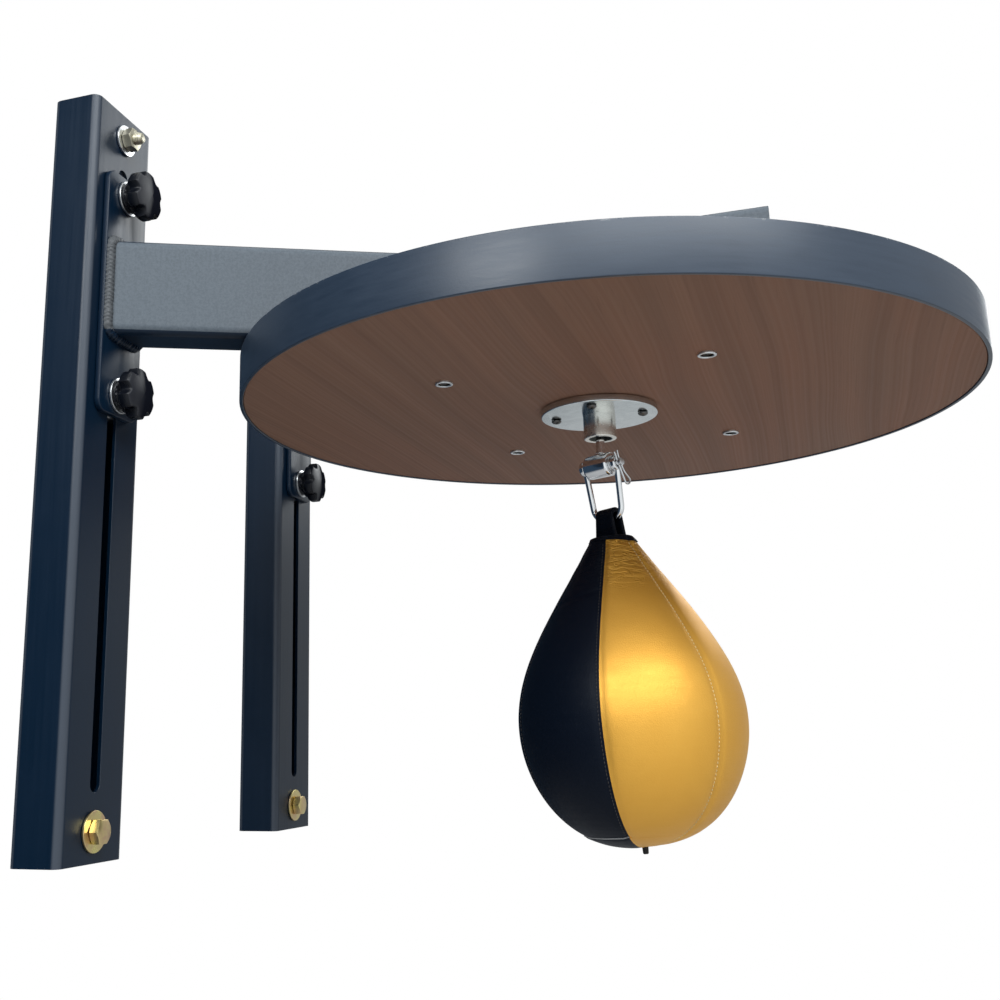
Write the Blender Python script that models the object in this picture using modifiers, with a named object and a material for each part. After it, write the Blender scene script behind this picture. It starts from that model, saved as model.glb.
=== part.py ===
"""Wall-mounted speed bag platform with a board that slides up and down two uprights.

Metres, +Z up. The wall is the plane y = 0 and the platform stands out from it along -Y.
x = 0 lies midway between the uprights and z = 0 is their lower end.
"""

import math

import bmesh
import bpy
from mathutils import Matrix, Vector

MM = 0.001

# Clearances
SEAT_GAP = 0.3 * MM
BOLT_CLEARANCE = 0.5 * MM
THREAD_CLEARANCE = 0.3 * MM
SOCKET_CLEARANCE = 0.3 * MM
COLLAR_EASE = 0.5 * MM

# Uprights, rectangular steel tube with a long slot in the front wall
UPRIGHT_WIDTH = 83 * MM
UPRIGHT_DEPTH = 42 * MM
UPRIGHT_HEIGHT = 600 * MM
UPRIGHT_SPACING = 357 * MM
TUBE_WALL = 3 * MM
TUBE_CORNER = 5 * MM
SLOT_WIDTH = 12.6 * MM
SLOT_END_INSET = 50 * MM
WALL_HOLE_INSET = 22.5 * MM

# Wall fixings
FIXING_DIAMETER = 10 * MM
NUT_ACROSS_FLATS = 17 * MM
NUT_HEIGHT = 8 * MM
STUD_PROUD = 6.5 * MM
HEX_HEAD_HEIGHT = 7.5 * MM
TOP_WASHER_DIAMETER = 26 * MM
LOW_WASHER_DIAMETER = 30 * MM
WASHER_THICKNESS = 2 * MM

# Slide plates; the headroom is from the upper knob at rest to the slot's top end
KNOB_HEADROOM = 26.5 * MM
PLATE_WIDTH = 54 * MM
PLATE_HEIGHT = 204 * MM
PLATE_THICKNESS = 5 * MM
PLATE_CORNER = 9 * MM
KNOB_SPACING = 170 * MM
STRIP_WIDTH = 42 * MM
STRIP_THICKNESS = 8 * MM

# Star knobs with moulded-in studs
KNOB_STUD_DIAMETER = 10 * MM
KNOB_STUD_END = 5 * MM
KNOB_DIAMETER = 41 * MM
KNOB_LOBES = 6
KNOB_SCALLOP = 3.6 * MM
KNOB_SCALLOP_POWER = 0.8
KNOB_HEAD_LENGTH = 12 * MM
KNOB_HUB_DIAMETER = 25 * MM
KNOB_HUB_LENGTH = 9 * MM
KNOB_EDGE = 1.4 * MM
KNOB_WASHER_DIAMETER = 29 * MM

# Arms, the uprights' tube set on edge, toed in and then running forward in parallel;
# the rise is from the knobs' middle to the arm's
ARM_HEIGHT = 83 * MM
ARM_WIDTH = 42 * MM
ARM_RISE = 3 * MM
ARM_ROOT_INSET = 1.5 * MM
ARM_LANE = 61 * MM
ARM_BEND_BACK = 120 * MM
ARM_REACH = 151 * MM

# Crossbars between the arms and the board
BAR_LENGTH = 290 * MM
BAR_WIDTH = 50 * MM
BAR_THICKNESS = 10 * MM
BAR_CORNER = 4 * MM

# Board and its steel rim
BOARD_CENTRE_Y = -399.5 * MM
BOARD_DIAMETER = 600 * MM
BOARD_THICKNESS = 36.5 * MM
RIM_THICKNESS = 3 * MM
RIM_DROP = 0.8 * MM
BOARD_BOLT_SPACING_X = 240 * MM
BOARD_BOLT_SPACING_Y = 199 * MM
BOARD_BOLT_DIAMETER = 8 * MM
BOARD_BOLT_HEAD = 14 * MM
BOARD_BOLT_HEAD_HEIGHT = 3 * MM
BOARD_BOLT_SOCKET = 6 * MM
BOARD_BOLT_SOCKET_DEPTH = 2.2 * MM
BOARD_NUT_ACROSS_FLATS = 13 * MM
BOARD_NUT_HEIGHT = 6.5 * MM
BOARD_BOLT_PROUD = 2.5 * MM
BOLT_POINT_RADIUS = 0.7
BOLT_POINT_LENGTH = 0.4

# Ball swivel under the board
FLANGE_DIAMETER = 97 * MM
FLANGE_THICKNESS = 4 * MM
FLANGE_SCREWS = 4
FLANGE_SCREW_RADIUS = 36.5 * MM
FLANGE_SCREW_DIAMETER = 4.5 * MM
FLANGE_SCREW_HEAD = 8.5 * MM
FLANGE_SCREW_HEAD_HEIGHT = 2.6 * MM
FLANGE_SCREW_LENGTH = 22 * MM
PAN_HEAD_SHOULDER = 0.85
BARREL_DIAMETER = 27 * MM
BARREL_EDGE = 0.8 * MM
BARREL_LENGTH = 21.5 * MM
BARREL_SPIGOT = 23 * MM
BARREL_BORE = 18 * MM
BARREL_THROAT = 13.6 * MM
BARREL_MOUTH = 19 * MM
BARREL_FLARE = 3.2 * MM
BARREL_LIP = 1 * MM
BALL_DIAMETER = 15 * MM
SEAT_HEIGHT = 6.5 * MM
SEAT_HOLE = 11.6 * MM
SEAT_RIM = 1 * MM
BALL_STUD_DIAMETER = 7.2 * MM

# Cross barrel, pin and shackle; the pin's heading is measured from +X
PIN_HEADING = -122
PIN_DROP = 35 * MM
CROSS_BARREL_DIAMETER = 20 * MM
CROSS_BARREL_LENGTH = 30 * MM
CROSS_BARREL_CHAMFER = 1.5 * MM
STUD_SEAT_DEPTH = 4.5 * MM
PIN_DIAMETER = 6 * MM
PIN_HEAD_DIAMETER = 10.5 * MM
PIN_HEAD_LENGTH = 2.5 * MM
PIN_TAIL = 7 * MM
PIN_WASHER_DIAMETER = 13 * MM
PIN_WASHER_THICKNESS = 1.5 * MM
SHACKLE_WIRE = 5 * MM
SHACKLE_EYE_DIAMETER = 13 * MM
SHACKLE_EYE_WIDTH = 4.6 * MM
SHACKLE_DROP = 45 * MM
SHACKLE_BOW_SPREAD = 32.8 * MM
SHACKLE_CORNER = 6 * MM
CLIP_WIRE = 1.6 * MM
CLIP_LEG_ABOVE = 9 * MM
CLIP_LEG_BELOW = 17 * MM
CLIP_EYE = 6.5 * MM
CLIP_LEAN = 24
CLIP_HUG_ANGLE = 48
# Where the clip's bent leg swells, waists and flares, as shares of its leg, and how far out
CLIP_SWELL_AT, CLIP_SWELL = 0.62, 1.1
CLIP_WAIST_AT, CLIP_WAIST = 0.42, 0.72
CLIP_FLARE_AT, CLIP_FLARE = 0.66, 0.8

# Bag
LOOP_WIDTH = 20 * MM
LOOP_STRAP = 3.6 * MM
LOOP_LENGTH = 15.2 * MM
COLLAR_SKIN = 2 * MM
COLLAR_DEPTH = 6.5 * MM
BAG_TOP_DIAMETER = 37 * MM
BAG_DIAMETER = 182 * MM
BAG_NECK_HEIGHT = 146 * MM
BAG_BELLY_DEPTH = 92 * MM
BAG_SHOULDER = 0.8
COVER_THICKNESS = 2.4 * MM
BLADDER_THICKNESS = 1.5 * MM
PATCH_DIAMETER = 62 * MM
PATCH_THICKNESS = 1.6 * MM
VALVE_DIAMETER = 5 * MM
VALVE_CAP_DIAMETER = 9 * MM
VALVE_CAP_HEIGHT = 2.4 * MM
VALVE_CAP_TAPER = 0.6
VALVE_LENGTH = 9 * MM

# Facets
CORNER_STEPS = 3
ROUND_STEPS = 20
SMALL_STEPS = 12
BAG_STEPS = 24
FLANGE_STEPS = 40
BOARD_STEPS = 72
LOBE_STEPS = 6
CLIP_STEPS = 8
LOOP_STEPS = 12
BAG_RINGS = 8
INNER_RINGS = 4
CAP_RINGS = 2

# Derived places
CARRIAGE_Z = UPRIGHT_HEIGHT - SLOT_END_INSET - KNOB_HEADROOM - KNOB_SPACING / 2
PLATE_BACK_Y = -UPRIGHT_DEPTH - SEAT_GAP
PLATE_FRONT_Y = PLATE_BACK_Y - PLATE_THICKNESS
KNOB_BASE_Y = PLATE_FRONT_Y - 2 * SEAT_GAP - WASHER_THICKNESS
STRIP_FRONT_Y = -UPRIGHT_DEPTH + TUBE_WALL + SEAT_GAP
ARM_ROOT_Y = PLATE_FRONT_Y - SEAT_GAP
ARM_Z = CARRIAGE_Z + ARM_RISE
ARM_BOTTOM_Z = ARM_Z - ARM_HEIGHT / 2
BAR_TOP_Z = ARM_BOTTOM_Z - SEAT_GAP
BAR_BOTTOM_Z = BAR_TOP_Z - BAR_THICKNESS
BOARD_TOP_Z = BAR_BOTTOM_Z - SEAT_GAP
BOARD_BOTTOM_Z = BOARD_TOP_Z - BOARD_THICKNESS
FLANGE_TOP_Z = BOARD_BOTTOM_Z - SEAT_GAP
FLANGE_BOTTOM_Z = FLANGE_TOP_Z - FLANGE_THICKNESS
BARREL_TOP_Z = FLANGE_BOTTOM_Z - SEAT_GAP
BARREL_BOTTOM_Z = BARREL_TOP_Z - BARREL_LENGTH
SEAT_BOTTOM_Z = BARREL_BOTTOM_Z + BARREL_FLARE + BARREL_LIP + SEAT_GAP
BALL_CUP_RADIUS = BALL_DIAMETER / 2 + SOCKET_CLEARANCE
BALL_Z = SEAT_BOTTOM_Z + SEAT_HEIGHT + SEAT_RIM
PIN_Z = BALL_Z - PIN_DROP
BOW_Z = PIN_Z - SHACKLE_DROP
EYE_OFFSET = (CROSS_BARREL_LENGTH / 2 + PIN_WASHER_THICKNESS + SHACKLE_EYE_WIDTH / 2
              + 2 * SEAT_GAP)
LOOP_HOLE = SHACKLE_WIRE + 2 * SEAT_GAP
COLLAR_TOP_Z = BOW_Z - LOOP_LENGTH - SEAT_GAP
COVER_TOP_Z = COLLAR_TOP_Z - COLLAR_SKIN - SEAT_GAP
BAG_WAIST_Z = COVER_TOP_Z - BAG_NECK_HEIGHT
BAG_BOTTOM_Z = BAG_WAIST_Z - BAG_BELLY_DEPTH
SWIVEL_CENTRE = Vector((0, BOARD_CENTRE_Y, 0))

FACING_OUT = Matrix.Rotation(math.radians(90), 4, "X")
ALONG_PIN = Matrix.Rotation(math.radians(PIN_HEADING), 4, "Z")
LATHE_TO_PIN = ALONG_PIN @ Matrix.Rotation(math.radians(90), 4, "Y")
SIDES = {"left": -1, "right": 1}


# Scene set-up

def clear_scene():
    """Removes every object of the start-up scene."""
    for item in list(bpy.data.objects):
        bpy.data.objects.remove(item)


def new_collection(name):
    """Makes a collection in the scene."""
    group = bpy.data.collections.new(name)
    bpy.context.scene.collection.children.link(group)
    return group


clear_scene()
PARTS = new_collection("speed_bag_platform")
CUTTERS = new_collection("cutters")


def finish(name, colour, roughness, metallic):
    """Makes a Principled material."""
    paint = bpy.data.materials.new(name)
    paint.use_nodes = True
    shader = paint.node_tree.nodes["Principled BSDF"]
    shader.inputs["Base Color"].default_value = (*colour, 1)
    shader.inputs["Roughness"].default_value = roughness
    shader.inputs["Metallic"].default_value = metallic
    return paint


PAINT = finish("blue_black_paint", (0.035, 0.045, 0.06), 0.42, 0.0)
ZINC = finish("zinc_plate", (0.72, 0.73, 0.74), 0.32, 1.0)
YELLOW_ZINC = finish("yellow_zinc", (0.70, 0.55, 0.26), 0.34, 1.0)
CHROME = finish("chrome", (0.80, 0.81, 0.82), 0.08, 1.0)
BLACK_PLASTIC = finish("black_plastic", (0.012, 0.013, 0.016), 0.38, 0.0)
VENEER = finish("brown_veneer", (0.13, 0.075, 0.052), 0.5, 0.0)
NYLON = finish("nylon", (0.75, 0.73, 0.66), 0.45, 0.0)
GOLD_LEATHER = finish("gold_leather", (0.42, 0.24, 0.035), 0.36, 0.35)
BLACK_LEATHER = finish("black_leather", (0.010, 0.011, 0.016), 0.45, 0.0)
RUBBER = finish("black_rubber", (0.015, 0.015, 0.015), 0.7, 0.0)


# Outlines

def arc(centre, radius, start, end, steps):
    """Points along an arc, with its angles in degrees."""
    angles = [math.radians(start + (end - start) * i / steps) for i in range(steps + 1)]
    return [(centre[0] + radius * math.cos(a), centre[1] + radius * math.sin(a)) for a in angles]


def circle(diameter, centre=(0, 0), steps=ROUND_STEPS):
    """A circle's points."""
    return arc(centre, diameter / 2, 0, 360, steps)[:-1]


def hexagon(across_flats):
    """A hexagon's corners."""
    return circle(across_flats / math.cos(math.radians(30)), steps=6)


def rounded_rectangle(width, height, radius):
    """A rectangle with round corners, centred on the origin."""
    across, up = width / 2 - radius, height / 2 - radius
    corners = [((across, up), 0), ((-across, up), 90), ((-across, -up), 180), ((across, -up), 270)]
    points = []
    for centre, start in corners:
        points += arc(centre, radius, start, start + 90, CORNER_STEPS)
    return points


def star(diameter, lobes, scallop):
    """A knob's outline: broad lobes with round scallops between them."""
    steps = lobes * LOBE_STEPS
    points = []
    for i in range(steps):
        angle = 2 * math.pi * i / steps
        hollow = max(0.0, math.cos(lobes * angle)) ** KNOB_SCALLOP_POWER
        radius = diameter / 2 - scallop * hollow
        points.append((radius * math.cos(angle), radius * math.sin(angle)))
    return points


# Meshes from outlines, profiles and paths

def baked(item):
    """Turns a curve, or an object with modifiers, into a welded mesh with its faces out."""
    bpy.context.view_layer.update()
    mesh = bpy.data.meshes.new_from_object(item.evaluated_get(bpy.context.evaluated_depsgraph_get()))
    bpy.data.objects.remove(item)
    shell = bmesh.new()
    shell.from_mesh(mesh)
    bmesh.ops.remove_doubles(shell, verts=shell.verts, dist=0.002 * MM)
    bmesh.ops.recalc_face_normals(shell, faces=shell.faces)
    shell.to_mesh(mesh)
    shell.free()
    return mesh


def poly_curve(name, points, cyclic, flat):
    """Makes a curve object of straight stretches."""
    curve = bpy.data.curves.new(name, "CURVE")
    curve.dimensions = "2D" if flat else "3D"
    item = bpy.data.objects.new(name, curve)
    CUTTERS.objects.link(item)
    for loop in points:
        spline = curve.splines.new("POLY")
        spline.points.add(len(loop) - 1)
        for point, place in zip(spline.points, loop):
            point.co = (*place, *([0] * (3 - len(place))), 1)
        spline.use_cyclic_u = cyclic
    return item


def slab(name, loops, thickness):
    """Extrudes a flat outline, with any holes, to a plate centred on z = 0."""
    item = poly_curve(name, loops, cyclic=True, flat=True)
    item.data.fill_mode = "BOTH"
    item.data.extrude = thickness / 2
    return baked(item)


def turned(name, profile, steps=ROUND_STEPS, ring=False):
    """Turns a profile of (radius, height) points about Z."""
    mesh = bpy.data.meshes.new(name)
    count = len(profile)
    links = [(i, i + 1) for i in range(count - 1)]
    if ring:
        links.append((count - 1, 0))
    mesh.from_pydata([(radius, 0, height) for radius, height in profile], links, [])
    item = bpy.data.objects.new(name, mesh)
    CUTTERS.objects.link(item)
    screw = item.modifiers.new("turn", "SCREW")
    screw.steps = steps
    screw.render_steps = steps
    screw.use_merge_vertices = True
    screw.merge_threshold = 0.01 * MM
    return baked(item)


def wire(name, path, diameter):
    """A round wire along a path, with closed ends."""
    item = poly_curve(name, [path], cyclic=False, flat=False)
    item.data.bevel_depth = diameter / 2
    item.data.bevel_resolution = 2
    item.data.use_fill_caps = True
    return baked(item)


def joined(name, meshes):
    """Unites overlapping meshes into one body."""
    base = bpy.data.objects.new(name, meshes[0])
    CUTTERS.objects.link(base)
    tools = []
    for mesh in meshes[1:]:
        tool = bpy.data.objects.new(name, mesh)
        CUTTERS.objects.link(tool)
        tools.append(tool)
        union = base.modifiers.new("union", "BOOLEAN")
        union.operation = "UNION"
        union.object = tool
    mesh = baked(base)
    for tool in tools:
        bpy.data.objects.remove(tool)
    return mesh


def moved(mesh, matrix):
    """A copy of a mesh carried by a matrix."""
    copy = mesh.copy()
    copy.transform(matrix)
    return copy


# Objects

def pivot(name, place):
    """An empty on a joint's axis."""
    empty = bpy.data.objects.new(name, None)
    empty.location = place
    empty.empty_display_size = 20 * MM
    PARTS.objects.link(empty)
    return empty


def part(name, mesh, material, place=(0, 0, 0), turn=Matrix(), parent=None):
    """Places one sub-part, under its parent empty if it has one."""
    item = bpy.data.objects.new(name, mesh)
    if not mesh.materials:
        mesh.materials.append(material)
        mesh.shade_smooth()
        mesh.set_sharp_from_angle(angle=math.radians(35))
    PARTS.objects.link(item)
    item.matrix_world = Matrix.Translation(Vector(place)) @ turn
    if parent:
        item.parent = parent
        item.matrix_parent_inverse = Matrix.Translation(parent.location).inverted()
    return item


def cut(item, mesh, place, turn=Matrix()):
    """Cuts a hole of a mesh's shape."""
    cutter = bpy.data.objects.new(item.name + "_cut", mesh)
    CUTTERS.objects.link(cutter)
    cutter.matrix_world = Matrix.Translation(Vector(place)) @ turn
    cutter.hide_render = True
    cutter.display_type = "WIRE"
    hole = item.modifiers.new("cut", "BOOLEAN")
    hole.operation = "DIFFERENCE"
    hole.object = cutter


def side_x(side):
    """The x of an upright's centre line."""
    return SIDES[side] * UPRIGHT_SPACING / 2


# Uprights and wall fixings

def build_uprights():
    """Two slotted tubes, each with a wall hole near both ends."""
    tube = slab("upright", [
        rounded_rectangle(UPRIGHT_WIDTH, UPRIGHT_DEPTH, TUBE_CORNER),
        rounded_rectangle(UPRIGHT_WIDTH - 2 * TUBE_WALL, UPRIGHT_DEPTH - 2 * TUBE_WALL,
                          TUBE_CORNER - TUBE_WALL)], UPRIGHT_HEIGHT)
    slot_height = UPRIGHT_HEIGHT - 2 * SLOT_END_INSET
    slot = slab("slot", [rounded_rectangle(SLOT_WIDTH, slot_height, SLOT_WIDTH / 2 - SEAT_GAP)],
                4 * TUBE_WALL)
    hole = slab("wall_hole", [circle(FIXING_DIAMETER + 2 * BOLT_CLEARANCE, steps=SMALL_STEPS)],
                2 * UPRIGHT_DEPTH)
    middle = UPRIGHT_HEIGHT / 2
    for side in SIDES:
        x = side_x(side)
        upright = part(f"upright_{side}", tube.copy(), PAINT, (x, -UPRIGHT_DEPTH / 2, middle))
        cut(upright, slot, (x, -UPRIGHT_DEPTH, middle), FACING_OUT)
        for height in (WALL_HOLE_INSET, UPRIGHT_HEIGHT - WALL_HOLE_INSET):
            cut(upright, hole, (x, -UPRIGHT_DEPTH / 2, height), FACING_OUT)


def washer(name, diameter, bore, thickness):
    """A flat washer."""
    return slab(name, [circle(diameter), circle(bore, steps=SMALL_STEPS)], thickness)


def hex_bolt(name, across_flats, head_height, diameter, length):
    """A hexagon bolt, with its head's seat at z = 0 and its shank below."""
    head = moved(slab(name, [hexagon(across_flats)], head_height),
                 Matrix.Translation((0, 0, head_height / 2)))
    radius = diameter / 2
    overlap = head_height / 2
    shank = turned(name, [(0, overlap), (radius, overlap), (radius, -length + radius / 2),
                          (radius / 2, -length), (0, -length)], SMALL_STEPS)
    return joined(name, [head, shank])


def build_wall_fixings():
    """Stud, nut and washer at each upright's top, hexagon bolt and washer at its foot."""
    bore = FIXING_DIAMETER + 2 * BOLT_CLEARANCE
    radius = FIXING_DIAMETER / 2
    washer_y = -UPRIGHT_DEPTH - SEAT_GAP - WASHER_THICKNESS / 2
    seat_y = -UPRIGHT_DEPTH - 2 * SEAT_GAP - WASHER_THICKNESS
    reach = -seat_y
    tip = NUT_HEIGHT + STUD_PROUD
    stud = turned("wall_stud", [(0, tip), (radius / 2, tip), (radius, tip - radius / 2),
                                (radius, -reach), (0, -reach)], SMALL_STEPS)
    nut = slab("wall_nut", [hexagon(NUT_ACROSS_FLATS),
                            circle(FIXING_DIAMETER + 2 * THREAD_CLEARANCE, steps=SMALL_STEPS)],
               NUT_HEIGHT)
    bolt = hex_bolt("wall_bolt", NUT_ACROSS_FLATS, HEX_HEAD_HEIGHT, FIXING_DIAMETER, reach)
    top_washer = washer("top_washer", TOP_WASHER_DIAMETER, bore, WASHER_THICKNESS)
    low_washer = washer("low_washer", LOW_WASHER_DIAMETER, bore, WASHER_THICKNESS)
    high = UPRIGHT_HEIGHT - WALL_HOLE_INSET
    low = WALL_HOLE_INSET
    for side in SIDES:
        x = side_x(side)
        part(f"wall_stud_{side}", stud, ZINC, (x, seat_y, high), FACING_OUT)
        part(f"wall_nut_{side}", nut, ZINC, (x, seat_y - NUT_HEIGHT / 2, high), FACING_OUT)
        part(f"wall_washer_top_{side}", top_washer, ZINC, (x, washer_y, high), FACING_OUT)
        part(f"wall_bolt_{side}", bolt, YELLOW_ZINC, (x, seat_y, low), FACING_OUT)
        part(f"wall_washer_low_{side}", low_washer, YELLOW_ZINC, (x, washer_y, low), FACING_OUT)


# Carriage

def build_slide_plates(carriage):
    """A plate in front of each upright and a tapped strip inside it."""
    knob_heights = (KNOB_SPACING / 2, -KNOB_SPACING / 2)
    bolt_hole = KNOB_STUD_DIAMETER + 2 * BOLT_CLEARANCE
    thread = KNOB_STUD_DIAMETER + 2 * THREAD_CLEARANCE
    plate = slab("slide_plate", [rounded_rectangle(PLATE_WIDTH, PLATE_HEIGHT, PLATE_CORNER)]
                 + [circle(bolt_hole, (0, z)) for z in knob_heights], PLATE_THICKNESS)
    strip = slab("clamp_strip", [rounded_rectangle(STRIP_WIDTH, PLATE_HEIGHT, TUBE_CORNER)]
                 + [circle(thread, (0, z)) for z in knob_heights], STRIP_THICKNESS)
    for side in SIDES:
        x = side_x(side)
        part(f"slide_plate_{side}", plate, PAINT,
             (x, PLATE_BACK_Y - PLATE_THICKNESS / 2, CARRIAGE_Z), FACING_OUT, carriage)
        part(f"clamp_strip_{side}", strip, ZINC,
             (x, STRIP_FRONT_Y + STRIP_THICKNESS / 2, CARRIAGE_Z), FACING_OUT, carriage)


def knob_mesh():
    """A star head on a waisted hub, with the stud moulded into it."""
    outline = star(KNOB_DIAMETER, KNOB_LOBES, KNOB_SCALLOP)
    head = bpy.data.objects.new("star_head", slab("star_head", [outline], KNOB_HEAD_LENGTH))
    CUTTERS.objects.link(head)
    edge = head.modifiers.new("edge", "BEVEL")
    edge.width = KNOB_EDGE
    edge.segments = 1
    edge.limit_method = "ANGLE"
    edge.angle_limit = math.radians(60)
    lift = KNOB_HUB_LENGTH + KNOB_HEAD_LENGTH / 2
    star_head = moved(baked(head), Matrix.Translation((0, 0, lift)))
    stud = KNOB_STUD_DIAMETER / 2
    hub = KNOB_HUB_DIAMETER / 2
    tip = (STRIP_FRONT_Y + STRIP_THICKNESS + KNOB_STUD_END) - KNOB_BASE_Y
    stem = turned("knob_stem", [
        (0, KNOB_HUB_LENGTH + KNOB_EDGE * 2), (hub - KNOB_EDGE, KNOB_HUB_LENGTH + KNOB_EDGE * 2),
        (hub - KNOB_EDGE, KNOB_HUB_LENGTH / 2), (hub, KNOB_HUB_LENGTH / 3), (hub, 0), (stud, 0),
        (stud, -tip + stud / 3), (stud * 2 / 3, -tip), (0, -tip)], SMALL_STEPS)
    return joined("knob", [star_head, stem])


def build_knobs(carriage):
    """Two star knobs and their washers on each plate."""
    knob = knob_mesh()
    ring = washer("knob_washer", KNOB_WASHER_DIAMETER, KNOB_STUD_DIAMETER + 2 * BOLT_CLEARANCE,
                  WASHER_THICKNESS)
    levels = {"upper": KNOB_SPACING / 2, "lower": -KNOB_SPACING / 2}
    washer_y = PLATE_FRONT_Y - SEAT_GAP - WASHER_THICKNESS / 2
    for side in SIDES:
        for level, rise in levels.items():
            x, z = side_x(side), CARRIAGE_Z + rise
            part(f"knob_washer_{level}_{side}", ring, ZINC, (x, washer_y, z), FACING_OUT, carriage)
            part(f"knob_{level}_{side}", knob, BLACK_PLASTIC, (x, KNOB_BASE_Y, z), FACING_OUT,
                 carriage)


def arm_stations():
    """The arm's cut planes: centre points and the vector along the tube's width in each."""
    root = Vector((UPRIGHT_SPACING / 2 - ARM_ROOT_INSET, ARM_ROOT_Y, ARM_Z))
    bend = Vector((ARM_LANE, BOARD_CENTRE_Y + ARM_BEND_BACK, ARM_Z))
    front = Vector((ARM_LANE, BOARD_CENTRE_Y - ARM_REACH, ARM_Z))
    toe = math.atan2(root.x - bend.x, root.y - bend.y)
    mitre = Vector((math.cos(toe / 2), -math.sin(toe / 2), 0)) / math.cos(toe / 2)
    return [(root, Vector((1 / math.cos(toe), 0, 0))), (bend, mitre), (front, Vector((1, 0, 0)))]


def arm_mesh(mirror):
    """A rectangular tube lofted through its root, bend and front cuts."""
    outer = rounded_rectangle(ARM_WIDTH, ARM_HEIGHT, TUBE_CORNER)
    inner = rounded_rectangle(ARM_WIDTH - 2 * TUBE_WALL, ARM_HEIGHT - 2 * TUBE_WALL,
                              TUBE_CORNER - TUBE_WALL)
    shell = bmesh.new()
    rings = []
    for centre, across in arm_stations():
        rings.append([[shell.verts.new(centre + across * u + Vector((0, 0, v))) for u, v in loop]
                      for loop in (outer, inner)])
    count = len(outer)
    for i in range(count):
        j = (i + 1) % count
        for skin in (0, 1):
            for near, far in zip(rings, rings[1:]):
                shell.faces.new([near[skin][i], near[skin][j], far[skin][j], far[skin][i]])
        for end in (rings[0], rings[-1]):
            shell.faces.new([end[0][i], end[0][j], end[1][j], end[1][i]])
    bmesh.ops.transform(shell, matrix=Matrix.Diagonal((mirror, 1, 1, 1)), verts=shell.verts)
    bmesh.ops.recalc_face_normals(shell, faces=shell.faces)
    mesh = bpy.data.meshes.new("arm")
    shell.to_mesh(mesh)
    shell.free()
    return mesh


def board_bolt_places():
    """The four board bolts, from the board's centre."""
    return [(x * BOARD_BOLT_SPACING_X / 2, y * BOARD_BOLT_SPACING_Y / 2)
            for y in (1, -1) for x in (-1, 1)]


def build_arms(carriage):
    """Both arms and the two crossbars under them."""
    for side, mirror in SIDES.items():
        part(f"arm_{side}", arm_mesh(mirror), PAINT, parent=carriage)
    hole = BOARD_BOLT_DIAMETER + 2 * BOLT_CLEARANCE
    bar = slab("crossbar", [rounded_rectangle(BAR_LENGTH, BAR_WIDTH, BAR_CORNER)]
               + [circle(hole, (x, 0)) for x in (-BOARD_BOLT_SPACING_X / 2,
                                                 BOARD_BOLT_SPACING_X / 2)], BAR_THICKNESS)
    for name, y in (("rear", BOARD_BOLT_SPACING_Y / 2), ("front", -BOARD_BOLT_SPACING_Y / 2)):
        part(f"crossbar_{name}", bar, PAINT,
             (0, BOARD_CENTRE_Y + y, BAR_TOP_Z - BAR_THICKNESS / 2), parent=carriage)


def screw_places():
    """The flange screws, from the swivel's centre."""
    turns = [math.radians(90 + 360 * i / FLANGE_SCREWS) for i in range(FLANGE_SCREWS)]
    return [(FLANGE_SCREW_RADIUS * math.cos(a), FLANGE_SCREW_RADIUS * math.sin(a)) for a in turns]


def build_board(carriage):
    """The round board in its steel rim, with pilot holes for the swivel's screws."""
    middle = BOARD_TOP_Z - BOARD_THICKNESS / 2
    hole = BOARD_BOLT_DIAMETER + 2 * BOLT_CLEARANCE
    core = BOARD_DIAMETER - 2 * RIM_THICKNESS - 2 * SEAT_GAP
    disc = slab("board", [circle(core, steps=BOARD_STEPS)]
                + [circle(hole, place, SMALL_STEPS) for place in board_bolt_places()],
                BOARD_THICKNESS)
    board = part("board", disc, VENEER, (0, BOARD_CENTRE_Y, middle), parent=carriage)
    pilot = slab("pilot", [circle(FLANGE_SCREW_DIAMETER + 2 * THREAD_CLEARANCE,
                                  steps=SMALL_STEPS)], 2 * FLANGE_SCREW_LENGTH)
    for x, y in screw_places():
        cut(board, pilot, (x, BOARD_CENTRE_Y + y, BOARD_BOTTOM_Z))
    outside = BOARD_DIAMETER / 2
    inside = outside - RIM_THICKNESS
    top, low = BOARD_TOP_Z, BOARD_BOTTOM_Z - RIM_DROP
    band = turned("rim_band", [(inside, top), (outside, top), (outside, low), (inside, low)],
                  BOARD_STEPS, True)
    part("rim_band", band, PAINT, (0, BOARD_CENTRE_Y, 0), parent=carriage)


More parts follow.
